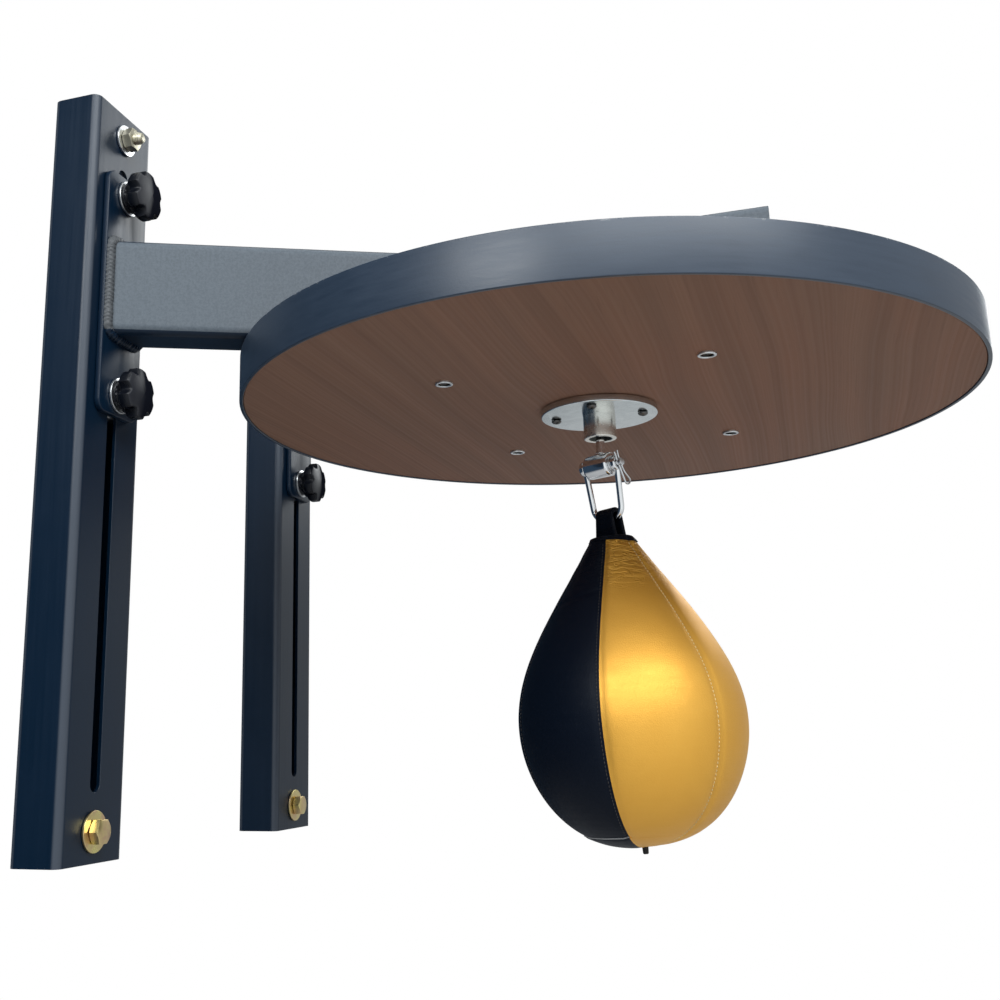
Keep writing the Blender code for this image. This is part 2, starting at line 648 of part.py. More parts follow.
def build_board_bolts(carriage):
    """Socket-head bolts up through board and crossbars, with a nut on each."""
    head = BOARD_BOLT_HEAD / 2
    socket = BOARD_BOLT_SOCKET / 2
    shank = BOARD_BOLT_DIAMETER / 2
    seat = BOARD_BOTTOM_Z - SEAT_GAP
    low = seat - BOARD_BOLT_HEAD_HEIGHT
    nut_seat = BAR_TOP_Z + SEAT_GAP
    tip = nut_seat + BOARD_NUT_HEIGHT + BOARD_BOLT_PROUD
    bolt = turned("board_bolt", [
        (0, tip), (shank * BOLT_POINT_RADIUS, tip), (shank, tip - shank * BOLT_POINT_LENGTH),
        (shank, seat), (head, seat),
        (head, low + BOARD_BOLT_HEAD_HEIGHT / 3), (head - BOARD_BOLT_HEAD_HEIGHT / 3, low),
        (socket, low), (socket, low + BOARD_BOLT_SOCKET_DEPTH), (0, low + BOARD_BOLT_SOCKET_DEPTH)],
        SMALL_STEPS)
    nut = slab("board_nut", [hexagon(BOARD_NUT_ACROSS_FLATS),
                             circle(BOARD_BOLT_DIAMETER + 2 * THREAD_CLEARANCE, steps=SMALL_STEPS)],
               BOARD_NUT_HEIGHT)
    for number, (x, y) in enumerate(board_bolt_places(), 1):
        place = Vector((x, BOARD_CENTRE_Y + y, 0))
        lift = Vector((0, 0, nut_seat + BOARD_NUT_HEIGHT / 2))
        part(f"board_bolt_{number}", bolt, ZINC, place, parent=carriage)
        part(f"board_nut_{number}", nut, ZINC, place + lift, parent=carriage)


# Swivel

def build_swivel(carriage):
    """Flange, its screws, and the barrel that holds the ball."""
    spigot_hole = BARREL_SPIGOT + 2 * BOLT_CLEARANCE
    screw_hole = FLANGE_SCREW_DIAMETER + 2 * BOLT_CLEARANCE
    flange = slab("swivel_flange", [circle(FLANGE_DIAMETER, steps=FLANGE_STEPS),
                                    circle(spigot_hole)]
                  + [circle(screw_hole, place, SMALL_STEPS) for place in screw_places()],
                  FLANGE_THICKNESS)
    part("swivel_flange", flange, ZINC,
         SWIVEL_CENTRE + Vector((0, 0, FLANGE_TOP_Z - FLANGE_THICKNESS / 2)), parent=carriage)
    outside, spigot = BARREL_DIAMETER / 2, BARREL_SPIGOT / 2
    bore, throat, mouth = BARREL_BORE / 2, BARREL_THROAT / 2, BARREL_MOUTH / 2
    ledge = BARREL_BOTTOM_Z + BARREL_FLARE + BARREL_LIP
    barrel = turned("swivel_barrel", [
        (bore, FLANGE_TOP_Z), (spigot, FLANGE_TOP_Z), (spigot, BARREL_TOP_Z),
        (outside, BARREL_TOP_Z), (outside, BARREL_BOTTOM_Z + BARREL_EDGE),
        (outside - BARREL_EDGE, BARREL_BOTTOM_Z), (mouth, BARREL_BOTTOM_Z),
        (throat, BARREL_BOTTOM_Z + BARREL_FLARE), (throat, ledge), (bore, ledge)], BAG_STEPS, True)
    part("swivel_barrel", barrel, CHROME, SWIVEL_CENTRE, parent=carriage)
    radius, head = FLANGE_SCREW_DIAMETER / 2, FLANGE_SCREW_HEAD / 2
    seat = FLANGE_BOTTOM_Z - SEAT_GAP
    tip = BOARD_BOTTOM_Z + FLANGE_SCREW_LENGTH - FLANGE_THICKNESS
    low = seat - FLANGE_SCREW_HEAD_HEIGHT
    screw = turned("flange_screw", [
        (0, tip), (radius / 2, tip - radius), (radius, tip - 2 * radius), (radius, seat),
        (head, seat), (head * PAN_HEAD_SHOULDER, low + FLANGE_SCREW_HEAD_HEIGHT / 3),
        (head / 2, low), (0, low)],
        SMALL_STEPS)
    for number, (x, y) in enumerate(screw_places(), 1):
        part(f"flange_screw_{number}", screw, ZINC, SWIVEL_CENTRE + Vector((x, y, 0)),
             parent=carriage)


def build_ball(spin, tilt):
    """The nylon seat that turns in the barrel and the ball stud that tips in it."""
    top = SEAT_BOTTOM_Z + SEAT_HEIGHT
    outside, hole = BARREL_BORE / 2 - SEAT_GAP, SEAT_HOLE / 2
    low_angle = math.degrees(math.acos(hole / BALL_CUP_RADIUS))
    high_angle = math.degrees(math.asin((BALL_Z - top) / BALL_CUP_RADIUS))
    cup = arc((0, BALL_Z), BALL_CUP_RADIUS, -low_angle, -high_angle, CORNER_STEPS)
    seat = turned("ball_seat", [(outside, top), (outside, SEAT_BOTTOM_Z), (hole, SEAT_BOTTOM_Z)]
                  + cup, ring=True)
    part("ball_seat", seat, NYLON, SWIVEL_CENTRE, parent=spin)
    shank = BALL_STUD_DIAMETER / 2
    ball = BALL_DIAMETER / 2
    neck = math.degrees(math.acos(shank / ball))
    foot = PIN_Z + CROSS_BARREL_DIAMETER / 2 - STUD_SEAT_DEPTH + SEAT_GAP
    stud = turned("ball_stud", arc((0, BALL_Z), ball, 90, -neck, LOBE_STEPS)
                  + [(shank, foot), (0, foot)])
    part("ball_stud", stud, CHROME, SWIVEL_CENTRE, parent=tilt)


def build_cross_barrel(tilt):
    """The cross barrel, drilled along its length for the pin and from above for the stud."""
    half, radius = CROSS_BARREL_LENGTH / 2, CROSS_BARREL_DIAMETER / 2
    bore = PIN_DIAMETER / 2 + THREAD_CLEARANCE
    edge = CROSS_BARREL_CHAMFER
    body = turned("cross_barrel", [
        (bore, half), (radius - edge, half), (radius, half - edge), (radius, edge - half),
        (radius - edge, -half), (bore, -half)], BAG_STEPS, True)
    centre = SWIVEL_CENTRE + Vector((0, 0, PIN_Z))
    barrel = part("cross_barrel", body, CHROME, centre, LATHE_TO_PIN, tilt)
    hole = slab("stud_hole", [circle(BALL_STUD_DIAMETER + 2 * THREAD_CLEARANCE)],
                2 * STUD_SEAT_DEPTH)
    cut(barrel, hole, centre + Vector((0, 0, radius)))


# Shackle

def bow_path():
    """The shackle's wire: down one leg, across the bow and up the other."""
    start = SHACKLE_EYE_DIAMETER / 2 - SHACKLE_WIRE / 4
    spread = SHACKLE_BOW_SPREAD / 2
    low = -SHACKLE_DROP
    corner = arc((spread - SHACKLE_CORNER, low + SHACKLE_CORNER), SHACKLE_CORNER, -90, 0, CORNER_STEPS)
    right = corner + [(EYE_OFFSET, -start)]
    left = [(-x, z) for x, z in reversed(right)]
    return [(x, 0, z) for x, z in left + right]


def build_shackle(swing):
    """The shackle, its pin, washers and the hairpin clip through the pin's tail."""
    centre = SWIVEL_CENTRE + Vector((0, 0, PIN_Z))
    outside = SHACKLE_EYE_DIAMETER / 2
    hole = PIN_DIAMETER / 2 + THREAD_CLEARANCE
    half = SHACKLE_EYE_WIDTH / 2
    eye = turned("eye", [(hole, half), (outside, half), (outside, -half), (hole, -half)],
                 SMALL_STEPS, True)
    across = Matrix.Rotation(math.radians(90), 4, "Y")
    eyes = [moved(eye, Matrix.Translation((side * EYE_OFFSET, 0, 0)) @ across)
            for side in SIDES.values()]
    bow = joined("shackle", [wire("bow", bow_path(), SHACKLE_WIRE)] + eyes)
    part("shackle", bow, CHROME, centre, ALONG_PIN, swing)
    ring = washer("pin_washer", PIN_WASHER_DIAMETER, 2 * hole, PIN_WASHER_THICKNESS)
    slide = CROSS_BARREL_LENGTH / 2 + SEAT_GAP + PIN_WASHER_THICKNESS / 2
    heading = ALONG_PIN @ Vector((1, 0, 0))
    part("pin_washer_near", ring, ZINC, centre + heading * slide, LATHE_TO_PIN, swing)
    part("pin_washer_far", ring, ZINC, centre - heading * slide, LATHE_TO_PIN, swing)
    build_pin(swing, centre)


def build_pin(swing, centre):
    """The clevis pin, drilled across its tail, and the hairpin clip in that hole."""
    reach = EYE_OFFSET + SHACKLE_EYE_WIDTH / 2 + SEAT_GAP
    radius, head = PIN_DIAMETER / 2, PIN_HEAD_DIAMETER / 2
    tail = reach + PIN_TAIL
    body = turned("clevis_pin", [
        (0, tail), (radius / 2, tail), (radius, tail - radius / 2), (radius, -reach),
        (head, -reach), (head, -reach - PIN_HEAD_LENGTH), (0, -reach - PIN_HEAD_LENGTH)])
    pin = part("clevis_pin", body, ZINC, centre, LATHE_TO_PIN, swing)
    heading = ALONG_PIN @ Vector((1, 0, 0))
    clip_centre = centre + heading * (reach + PIN_TAIL / 2)
    lean = ALONG_PIN @ Matrix.Rotation(math.radians(CLIP_LEAN), 4, "X")
    hole = slab("clip_hole", [circle(CLIP_WIRE + 2 * THREAD_CLEARANCE, steps=SMALL_STEPS)],
                2 * PIN_HEAD_DIAMETER)
    cut(pin, hole, clip_centre, lean)
    part("hairpin_clip", wire("hairpin_clip", clip_path(), CLIP_WIRE), ZINC, clip_centre, lean,
         swing)


def clip_path():
    """The clip's wire: straight leg up through the pin, eye below, and the waisted leg."""
    grip = PIN_DIAMETER / 2 + CLIP_WIRE / 2 + SEAT_GAP
    radius = CLIP_EYE / 2
    low = -CLIP_LEG_BELOW
    eye = arc((radius, low), radius, 180, 360, CLIP_STEPS)
    leg = [(0, CLIP_LEG_ABOVE), (0, low / 2)] + eye
    waist = [(radius * CLIP_SWELL, low * CLIP_SWELL_AT), (grip * CLIP_WAIST, low * CLIP_WAIST_AT)]
    hug = arc((0, 0), grip, -CLIP_HUG_ANGLE, CLIP_HUG_ANGLE, CLIP_STEPS)
    flare = [(grip * CLIP_FLARE, CLIP_LEG_ABOVE * CLIP_FLARE_AT), (grip, CLIP_LEG_ABOVE)]
    return [(0, y, z) for y, z in leg + waist + hug + flare]


# Bag

def neck_radius(z):
    """The bag's outer radius at a height on its neck."""
    top, belly = BAG_TOP_DIAMETER / 2, BAG_DIAMETER / 2
    rise = (z - BAG_WAIST_Z) / BAG_NECK_HEIGHT
    swell = (BAG_SHOULDER * math.cos(math.pi * rise / 2)
             + (1 - BAG_SHOULDER) * (1 + math.cos(math.pi * rise)) / 2)
    return top + (belly - top) * swell


def neck_profile(top_z, inset, rings):
    """The bag's neck from its top to the belly's widest ring."""
    heights = [top_z + (BAG_WAIST_Z - top_z) * i / rings for i in range(rings)]
    return [(neck_radius(z) - inset, z) for z in heights]


def belly_profile(inset, hole, rings, start=0.0):
    """The belly's round underside, from an angle below its widest ring to a hole's edge."""
    wide, deep = BAG_DIAMETER / 2 - inset, BAG_BELLY_DEPTH - inset
    end = math.acos(hole / wide)
    angles = [start + (end - start) * i / rings for i in range(rings + 1)]
    return [(wide * math.cos(a), BAG_WAIST_Z - deep * math.sin(a)) for a in angles]


def skin(name, inset, thickness, hole, rings):
    """A thin-walled bag with a round hole at its foot."""
    top = COVER_TOP_Z - inset
    inner = inset + thickness
    outside = neck_profile(top, inset, rings) + belly_profile(inset, hole, rings)
    inside = (neck_profile(top - thickness, inner, INNER_RINGS)
              + belly_profile(inner, hole, INNER_RINGS))
    return turned(name, [(0, top)] + outside + inside[::-1] + [(0, top - thickness)], BAG_STEPS)


def build_bag(sway):
    """Cover, bladder, collar, foot patch, valve and hanging loop."""
    valve_hole = VALVE_DIAMETER / 2 + SEAT_GAP
    cover = skin("bag_cover", 0, COVER_THICKNESS, valve_hole, BAG_RINGS)
    lining = COVER_THICKNESS + SEAT_GAP
    bladder = skin("bladder", lining, BLADDER_THICKNESS, valve_hole, INNER_RINGS)
    part("bag_cover", cover, GOLD_LEATHER, SWIVEL_CENTRE, parent=sway)
    part("bladder", bladder, RUBBER, SWIVEL_CENTRE, parent=sway)
    build_collar(sway)
    build_foot(sway, valve_hole)
    build_loop(sway)


def build_collar(sway):
    """The cap of leather over the neck."""
    heights = [COVER_TOP_Z - COLLAR_DEPTH * i / CAP_RINGS for i in range(CAP_RINGS + 1)]
    lining = [(neck_radius(z) + COLLAR_EASE, z) for z in heights]
    outside = [(r + COLLAR_SKIN, z) for r, z in lining]
    brim = outside[0][0] - COLLAR_SKIN / 2
    mesh = turned("bag_collar", [(0, COLLAR_TOP_Z), (brim, COLLAR_TOP_Z)] + outside
                  + lining[::-1] + [(lining[0][0], COVER_TOP_Z + SEAT_GAP),
                                    (0, COVER_TOP_Z + SEAT_GAP)], BAG_STEPS)
    part("bag_collar", mesh, BLACK_LEATHER, SWIVEL_CENTRE, parent=sway)


def build_foot(sway, valve_hole):
    """The round patch under the bag and the valve through it."""
    wide = BAG_DIAMETER / 2 + SEAT_GAP
    start = math.acos(PATCH_DIAMETER / 2 / wide)
    upper = belly_profile(-SEAT_GAP, valve_hole, CAP_RINGS, start)
    lower = belly_profile(-SEAT_GAP - PATCH_THICKNESS, valve_hole, CAP_RINGS, start)
    mesh = turned("foot_patch", lower + upper[::-1], BAG_STEPS, True)
    part("foot_patch", mesh, BLACK_LEATHER, SWIVEL_CENTRE, parent=sway)
    stem, cap = VALVE_DIAMETER / 2, VALVE_CAP_DIAMETER / 2
    seat = BAG_BOTTOM_Z - 2 * SEAT_GAP - PATCH_THICKNESS
    top = seat + VALVE_LENGTH
    low = seat - VALVE_CAP_HEIGHT
    valve = turned("valve", [(0, top), (stem, top), (stem, seat), (cap, seat),
                             (cap, low + VALVE_CAP_HEIGHT / 2), (cap * VALVE_CAP_TAPER, low), (0, low)],
                   SMALL_STEPS)
    part("valve", valve, RUBBER, SWIVEL_CENTRE, parent=sway)


def build_loop(sway):
    """The leather loop that hangs on the shackle's bow."""
    outside = LOOP_HOLE / 2 + LOOP_STRAP
    strap = (arc((0, 0), outside, 0, 180, LOOP_STEPS)
             + [(-outside, -LOOP_LENGTH), (outside, -LOOP_LENGTH)])
    mesh = slab("hanging_loop", [strap, circle(LOOP_HOLE, steps=SMALL_STEPS)], LOOP_WIDTH)
    upright = ALONG_PIN @ Matrix.Rotation(math.radians(90), 4, "Z") @ FACING_OUT
    part("hanging_loop", mesh, BLACK_LEATHER, SWIVEL_CENTRE + Vector((0, 0, BOW_Z)), upright, sway)


def main():
    """Builds the platform, body by body."""
    build_uprights()
    build_wall_fixings()
    carriage = pivot("height_slide", (0, 0, CARRIAGE_Z))
    build_slide_plates(carriage)
    build_knobs(carriage)
    build_arms(carriage)
    build_board(carriage)
    build_board_bolts(carriage)
    build_swivel(carriage)
    spin = pivot("swivel_spin", SWIVEL_CENTRE + Vector((0, 0, BALL_Z)))
    tilt = pivot("swivel_tilt", SWIVEL_CENTRE + Vector((0, 0, BALL_Z)))
    build_ball(spin, tilt)
    build_cross_barrel(tilt)
    swing = pivot("shackle_swing", SWIVEL_CENTRE + Vector((0, 0, PIN_Z)))
    build_shackle(swing)
    sway = pivot("bag_sway", SWIVEL_CENTRE + Vector((0, 0, BOW_Z)))
    build_bag(sway)


main()
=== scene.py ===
"""Looks of a wall-mounted speed bag platform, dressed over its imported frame.

Metres, +Z up, in the frame of the CAD: the wall is the plane y = 0, the platform stands out
along -Y, and the left upright is the one nearer the camera.
"""
import logging
import math
from dataclasses import dataclass, field, replace
from enum import Enum
from typing import Callable, Sequence

import bmesh
import bpy
import numpy as np
from mathutils import Matrix, Vector, noise


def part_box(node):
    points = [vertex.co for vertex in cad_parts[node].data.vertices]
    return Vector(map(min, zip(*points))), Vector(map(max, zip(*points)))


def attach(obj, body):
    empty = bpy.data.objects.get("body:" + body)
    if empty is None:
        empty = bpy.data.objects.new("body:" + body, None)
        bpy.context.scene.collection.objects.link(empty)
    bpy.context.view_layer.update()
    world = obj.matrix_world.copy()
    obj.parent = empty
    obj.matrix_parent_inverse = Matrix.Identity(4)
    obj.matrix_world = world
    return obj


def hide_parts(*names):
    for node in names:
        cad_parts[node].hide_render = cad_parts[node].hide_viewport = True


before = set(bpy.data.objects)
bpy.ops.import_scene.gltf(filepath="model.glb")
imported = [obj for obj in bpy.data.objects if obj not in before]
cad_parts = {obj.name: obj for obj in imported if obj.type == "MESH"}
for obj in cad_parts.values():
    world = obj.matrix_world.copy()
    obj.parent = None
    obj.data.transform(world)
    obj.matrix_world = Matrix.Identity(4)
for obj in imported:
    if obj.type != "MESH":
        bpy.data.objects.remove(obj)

LOG = logging.getLogger("speed_bag_platform")
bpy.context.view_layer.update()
MM = 0.001

SHARP = 40
WASHER_EDGE = 0.35 * MM
PIN_HEADING = -122
BOW_DROP = 45 * MM
BALL_DIAMETER = 15 * MM

Colour = tuple[float, float, float]
Loop = list[tuple[float, float]]
Mesh = bpy.types.Mesh
Node = bpy.types.Node
Piece = bpy.types.Object
Socket = bpy.types.NodeSocket
Sockets = bpy.types.bpy_prop_collection
Tree = bpy.types.NodeTree


def turned(degrees: float, axis: str | Vector) -> Matrix:
    """A turn about an axis through the origin."""
    return Matrix.Rotation(math.radians(degrees), 4, axis)


FACING_OUT = turned(90, "X")
ON_ITS_SIDE = turned(90, "Y")
ALONG_PIN = turned(PIN_HEADING, "Z")


class Slot(Enum):
    """The record's material slots."""

    PAINT = "blue_black_paint"
    ZINC = "zinc_plate"
    YELLOW_ZINC = "yellow_zinc"
    CHROME = "chrome"
    PLASTIC = "black_plastic"
    VENEER = "brown_veneer"
    NYLON = "nylon"
    GOLD = "gold_leather"
    BLACK = "black_leather"
    RUBBER = "black_rubber"


class Side(Enum):
    """Which upright, and the sign of its x."""

    LEFT = -1
    RIGHT = 1

    @property
    def label(self) -> str:
        """The side's word in node names."""
        return self.name.lower()


class Level(Enum):
    """Which knob of a slide plate."""

    UPPER = "upper"
    LOWER = "lower"


class Carve(Enum):
    """What a tool mesh does to the mesh it meets."""

    CUT = "DIFFERENCE"
    KEEP_COMMON = "INTERSECT"


@dataclass(frozen=True)
class Span:
    """A CAD node's box at rest."""

    low: Vector
    high: Vector

    @classmethod
    def of(cls, node: str) -> "Span":
        """The box of one node."""
        low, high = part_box(node)
        return cls(Vector(low), Vector(high))

    @property
    def centre(self) -> Vector:
        """The middle of the box."""
        return (self.low + self.high) / 2

    @property
    def axis(self) -> Matrix:
        """The move that takes the Z axis to the box's middle."""
        return Matrix.Translation((*self.centre.xy, 0))

    @property
    def size(self) -> Vector:
        """The box's three sides."""
        return self.high - self.low


# Outlines

def arc(centre: tuple[float, float], radius: float, start: float, end: float,
        steps: int) -> Loop:
    """Points along an arc.

    Args:
        centre: the arc's centre.
        radius: its radius.
        start: its first angle in degrees.
        end: its last angle in degrees.
        steps: how many stretches it has.

    Returns:
        The points, both ends among them.
    """
    angles = np.radians(np.linspace(start, end, steps + 1))
    return [(centre[0] + radius * math.cos(a), centre[1] + radius * math.sin(a)) for a in angles]


def circle(diameter: float, centre: tuple[float, float] = (0, 0), steps: int = 48) -> Loop:
    """A circle's points."""
    return arc(centre, diameter / 2, 0, 360, steps)[:-1]


def rounded_rectangle(width: float, height: float, radius: float, steps: int = 8) -> Loop:
    """A rectangle with round corners about the origin."""
    across, up = width / 2 - radius, height / 2 - radius
    corners = [((across, up), 0), ((-across, up), 90), ((-across, -up), 180), ((across, -up), 270)]
    return [p for c, start in corners for p in arc(c, radius, start, start + 90, steps)]


def eased(points: Sequence[tuple[float, float]], radius: float, closed: bool = False,
          steps: int = 4) -> Loop:
    """Rounds the corners of a profile or outline.

    Args:
        points: the corners.
        radius: how far from a corner its rounding starts, at most half of a stretch.
        closed: whether the last point joins the first.
        steps: stretches in each rounding.

    Returns:
        The rounded line's points.
    """
    corners = [Vector(p) for p in points]
    count = len(corners)
    line: Loop = []
    for i, corner in enumerate(corners):
        if not closed and i in (0, count - 1):
            line.append(tuple(corner))
            continue
        back, on = corners[i - 1] - corner, corners[(i + 1) % count] - corner
        start = corner + back.normalized() * min(radius, back.length / 2)
        end = corner + on.normalized() * min(radius, on.length / 2)
        for t in np.linspace(0, 1, steps + 1):
            line.append(tuple(start * (1 - t) ** 2 + corner * 2 * t * (1 - t) + end * t ** 2))
    return line


def resampled(corners: Sequence[Vector], step: float) -> np.ndarray:
    """Points at an even step round a closed line.

    Args:
        corners: the line's corners.
        step: the wanted distance between points.

    Returns:
        The points.
    """
    line = np.array([*corners, corners[0]], float)
    run = np.concatenate([[0], np.cumsum(np.linalg.norm(np.diff(line, axis=0), axis=1))])
    count = max(8, round(run[-1] / step))
    places = np.linspace(0, run[-1], count, endpoint=False)
    return np.stack([np.interp(places, run, line[:, k]) for k in range(3)], 1)


# Meshes

class Shell:
    """Points and faces gathered for one mesh."""

    WELD = 0.002 * MM

    def __init__(self) -> None:
        """Starts with nothing."""
        self.points: list[tuple[float, float, float]] = []
        self.faces: list[tuple[int, ...]] = []

    def rings(self, rows: Sequence[np.ndarray], wrap_rows: bool = False) -> "Shell":
        """Skins a run of closed rings.

        Args:
            rows: rings of equally many points.
            wrap_rows: whether the last ring joins the first.

        Returns:
            This shell.
        """
        base, count = len(self.points), len(rows[0])
        for row in rows:
            self.points.extend(map(tuple, row))
        pairs = [(i, i + 1) for i in range(len(rows) - 1)]
        if wrap_rows:
            pairs.append((len(rows) - 1, 0))
        for near, far in pairs:
            for i in range(count):
                j = (i + 1) % count
                self.faces.append((base + near * count + i, base + near * count + j,
                                   base + far * count + j, base + far * count + i))
        return self

    def lathe(self, profile: Sequence[tuple[float, float]], place: Matrix = Matrix(),
              steps: int = 48, closed: bool = False) -> "Shell":
        """Turns a profile of (radius, height) points about its own Z axis."""
        turn = np.linspace(0, 2 * math.pi, steps, endpoint=False)
        rows = []
        for radius, height in profile:
            ring = radius * np.cos(turn), radius * np.sin(turn), np.full(steps, height)
            rows.append([place @ Vector(p) for p in np.stack(ring, 1)])
        return self.rings(rows, closed)

    def tube(self, path: np.ndarray, radii: float | np.ndarray, up: Sequence[float], sides: int,
             closed: bool = False) -> "Shell":
        """Runs a round section along a path.

        Args:
            path: the path's points.
            radii: the section's radius: one, one for each point, or one for each side of each.
            up: a direction that is nowhere along the path.
            sides: facets round the section.
            closed: whether the path joins up.

        Returns:
            This shell.
        """
        count = len(path)
        if closed:
            along = np.roll(path, -1, 0) - np.roll(path, 1, 0)
        else:
            along = np.gradient(path, axis=0)
        along /= np.linalg.norm(along, axis=1, keepdims=True)
        across = np.cross(along, np.array(up))
        across /= np.linalg.norm(across, axis=1, keepdims=True)
        rise = np.cross(across, along)
        radii = np.asarray(radii, float)
        if radii.ndim < 2:
            radii = np.broadcast_to(radii, count)[:, None]
        turn = np.linspace(0, 2 * math.pi, sides, endpoint=False)
        rows = [path[i] + radii[i][:, None] * (np.outer(np.cos(turn), across[i])
                                               + np.outer(np.sin(turn), rise[i]))
                for i in range(count)]
        if not closed:
            rows = [np.repeat(path[:1], sides, 0), *rows, np.repeat(path[-1:], sides, 0)]
        return self.rings(rows, closed)

    def mesh(self, name: str, sharp: float = SHARP) -> Mesh:
        """The points as a welded mesh, with edges over an angle in degrees kept sharp."""
        mesh = bpy.data.meshes.new(name)
        mesh.from_pydata(self.points, [], self.faces)
        return welded(mesh, sharp)


def linked(name: str, data: bpy.types.ID) -> Piece:
    """A new object in the scene."""
    item = bpy.data.objects.new(name, data)
    bpy.context.scene.collection.objects.link(item)
    return item


def welded(mesh: Mesh, sharp: float = SHARP) -> Mesh:
    """Joins a mesh's equal points, turns its faces out and shades it smooth."""
    work = bmesh.new()
    work.from_mesh(mesh)
    bmesh.ops.remove_doubles(work, verts=work.verts, dist=Shell.WELD)
    bmesh.ops.recalc_face_normals(work, faces=work.faces)
    work.to_mesh(mesh)
    work.free()
    return smooth(mesh, sharp)


def smooth(mesh: Mesh, sharp: float = SHARP) -> Mesh:
    """Shades a mesh smooth, with edges over an angle in degrees kept sharp."""
    mesh.shade_smooth()
    mesh.set_sharp_from_angle(angle=math.radians(sharp))
    return mesh


def baked(item: Piece) -> Mesh:
    """The finished mesh of a scratch object, which is removed."""
    bpy.context.view_layer.update()
    finished = item.evaluated_get(bpy.context.evaluated_depsgraph_get())
    mesh = bpy.data.meshes.new_from_object(finished)
    bpy.data.objects.remove(item)
    return mesh


def plate(name: str, loops: Sequence[Loop], thickness: float, edge: float) -> Mesh:
    """A plate with rounded edges, centred on z = 0.

    Args:
        name: the mesh's name.
        loops: its outline and then any holes.
        thickness: its full thickness.
        edge: the edges' radius.

    Returns:
        The mesh.
    """
    curve = bpy.data.curves.new(name, "CURVE")
    curve.dimensions = "2D"
    curve.fill_mode = "BOTH"
    curve.extrude = thickness / 2 - edge
    curve.bevel_depth = edge
    curve.bevel_resolution = 3
    curve.offset = -edge
    for loop in loops:
        spline = curve.splines.new("POLY")
        spline.points.add(len(loop) - 1)
        for point, place in zip(spline.points, loop):
            point.co = (*place, 0, 1)
        spline.use_cyclic_u = True
    return welded(baked(linked(name, curve)))


def carved(base: Mesh, tool: Mesh, how: Carve) -> Mesh:
    """A mesh cut by another one, or their common part."""
    kept, cutter = linked("carving", base), linked("carving", tool)
    meet = kept.modifiers.new("carve", "BOOLEAN")
    meet.operation = how.value
    meet.object = cutter
    mesh = baked(kept)
    bpy.data.objects.remove(cutter)
    return smooth(mesh)


def moved(mesh: Mesh, matrix: Matrix) -> Mesh:
    """A copy of a mesh, carried by a matrix."""
    copy = mesh.copy()
    copy.transform(matrix)
    return copy


def merged(name: str, meshes: Sequence[Mesh]) -> Mesh:
    """Several meshes as one."""
    work = bmesh.new()
    for mesh in meshes:
        work.from_mesh(mesh)
    mesh = bpy.data.meshes.new(name)
    work.to_mesh(mesh)
    work.free()
    return smooth(mesh)


def threaded(radius: float, low: float, high: float, pitch: float) -> Loop:
    """A threaded rod's profile from its lower to its upper end, with a chamfered tip."""
    depth = pitch * 0.45
    turns = max(2, int((high - low - pitch) / pitch))
    step = (high - low - pitch) / turns
    line: Loop = [(0, low)]
    for i in range(turns):
        z = low + i * step
        line += [(radius - depth, z), (radius, z + 0.4 * step), (radius, z + 0.6 * step)]
    return line + [(radius - depth, high - pitch), (radius - 1.6 * depth, high), (0, high)]


def hexagon_body(name: str, across_flats: float, height: float) -> Mesh:
    """A nut's or bolt head's body on z = 0, with its corners turned off."""
    past = 0.01 * MM
    corner = across_flats / 2 / math.cos(math.radians(30))
    prism = Shell().lathe([(0, 0), (corner, 0), (corner, height), (0, height)], steps=6).mesh(name)
    drop = 0.42 * (corner - across_flats / 2) * 2
    flat, wide = across_flats / 2 * 0.97, corner * 1.02
    dome = Shell().lathe([(0, -past), (flat, -past), (wide, drop), (wide, height - drop),
                          (flat, height + past), (0, height + past)], steps=72).mesh(name)
    return carved(prism, dome, Carve.KEEP_COMMON)


# Node groups and finishes

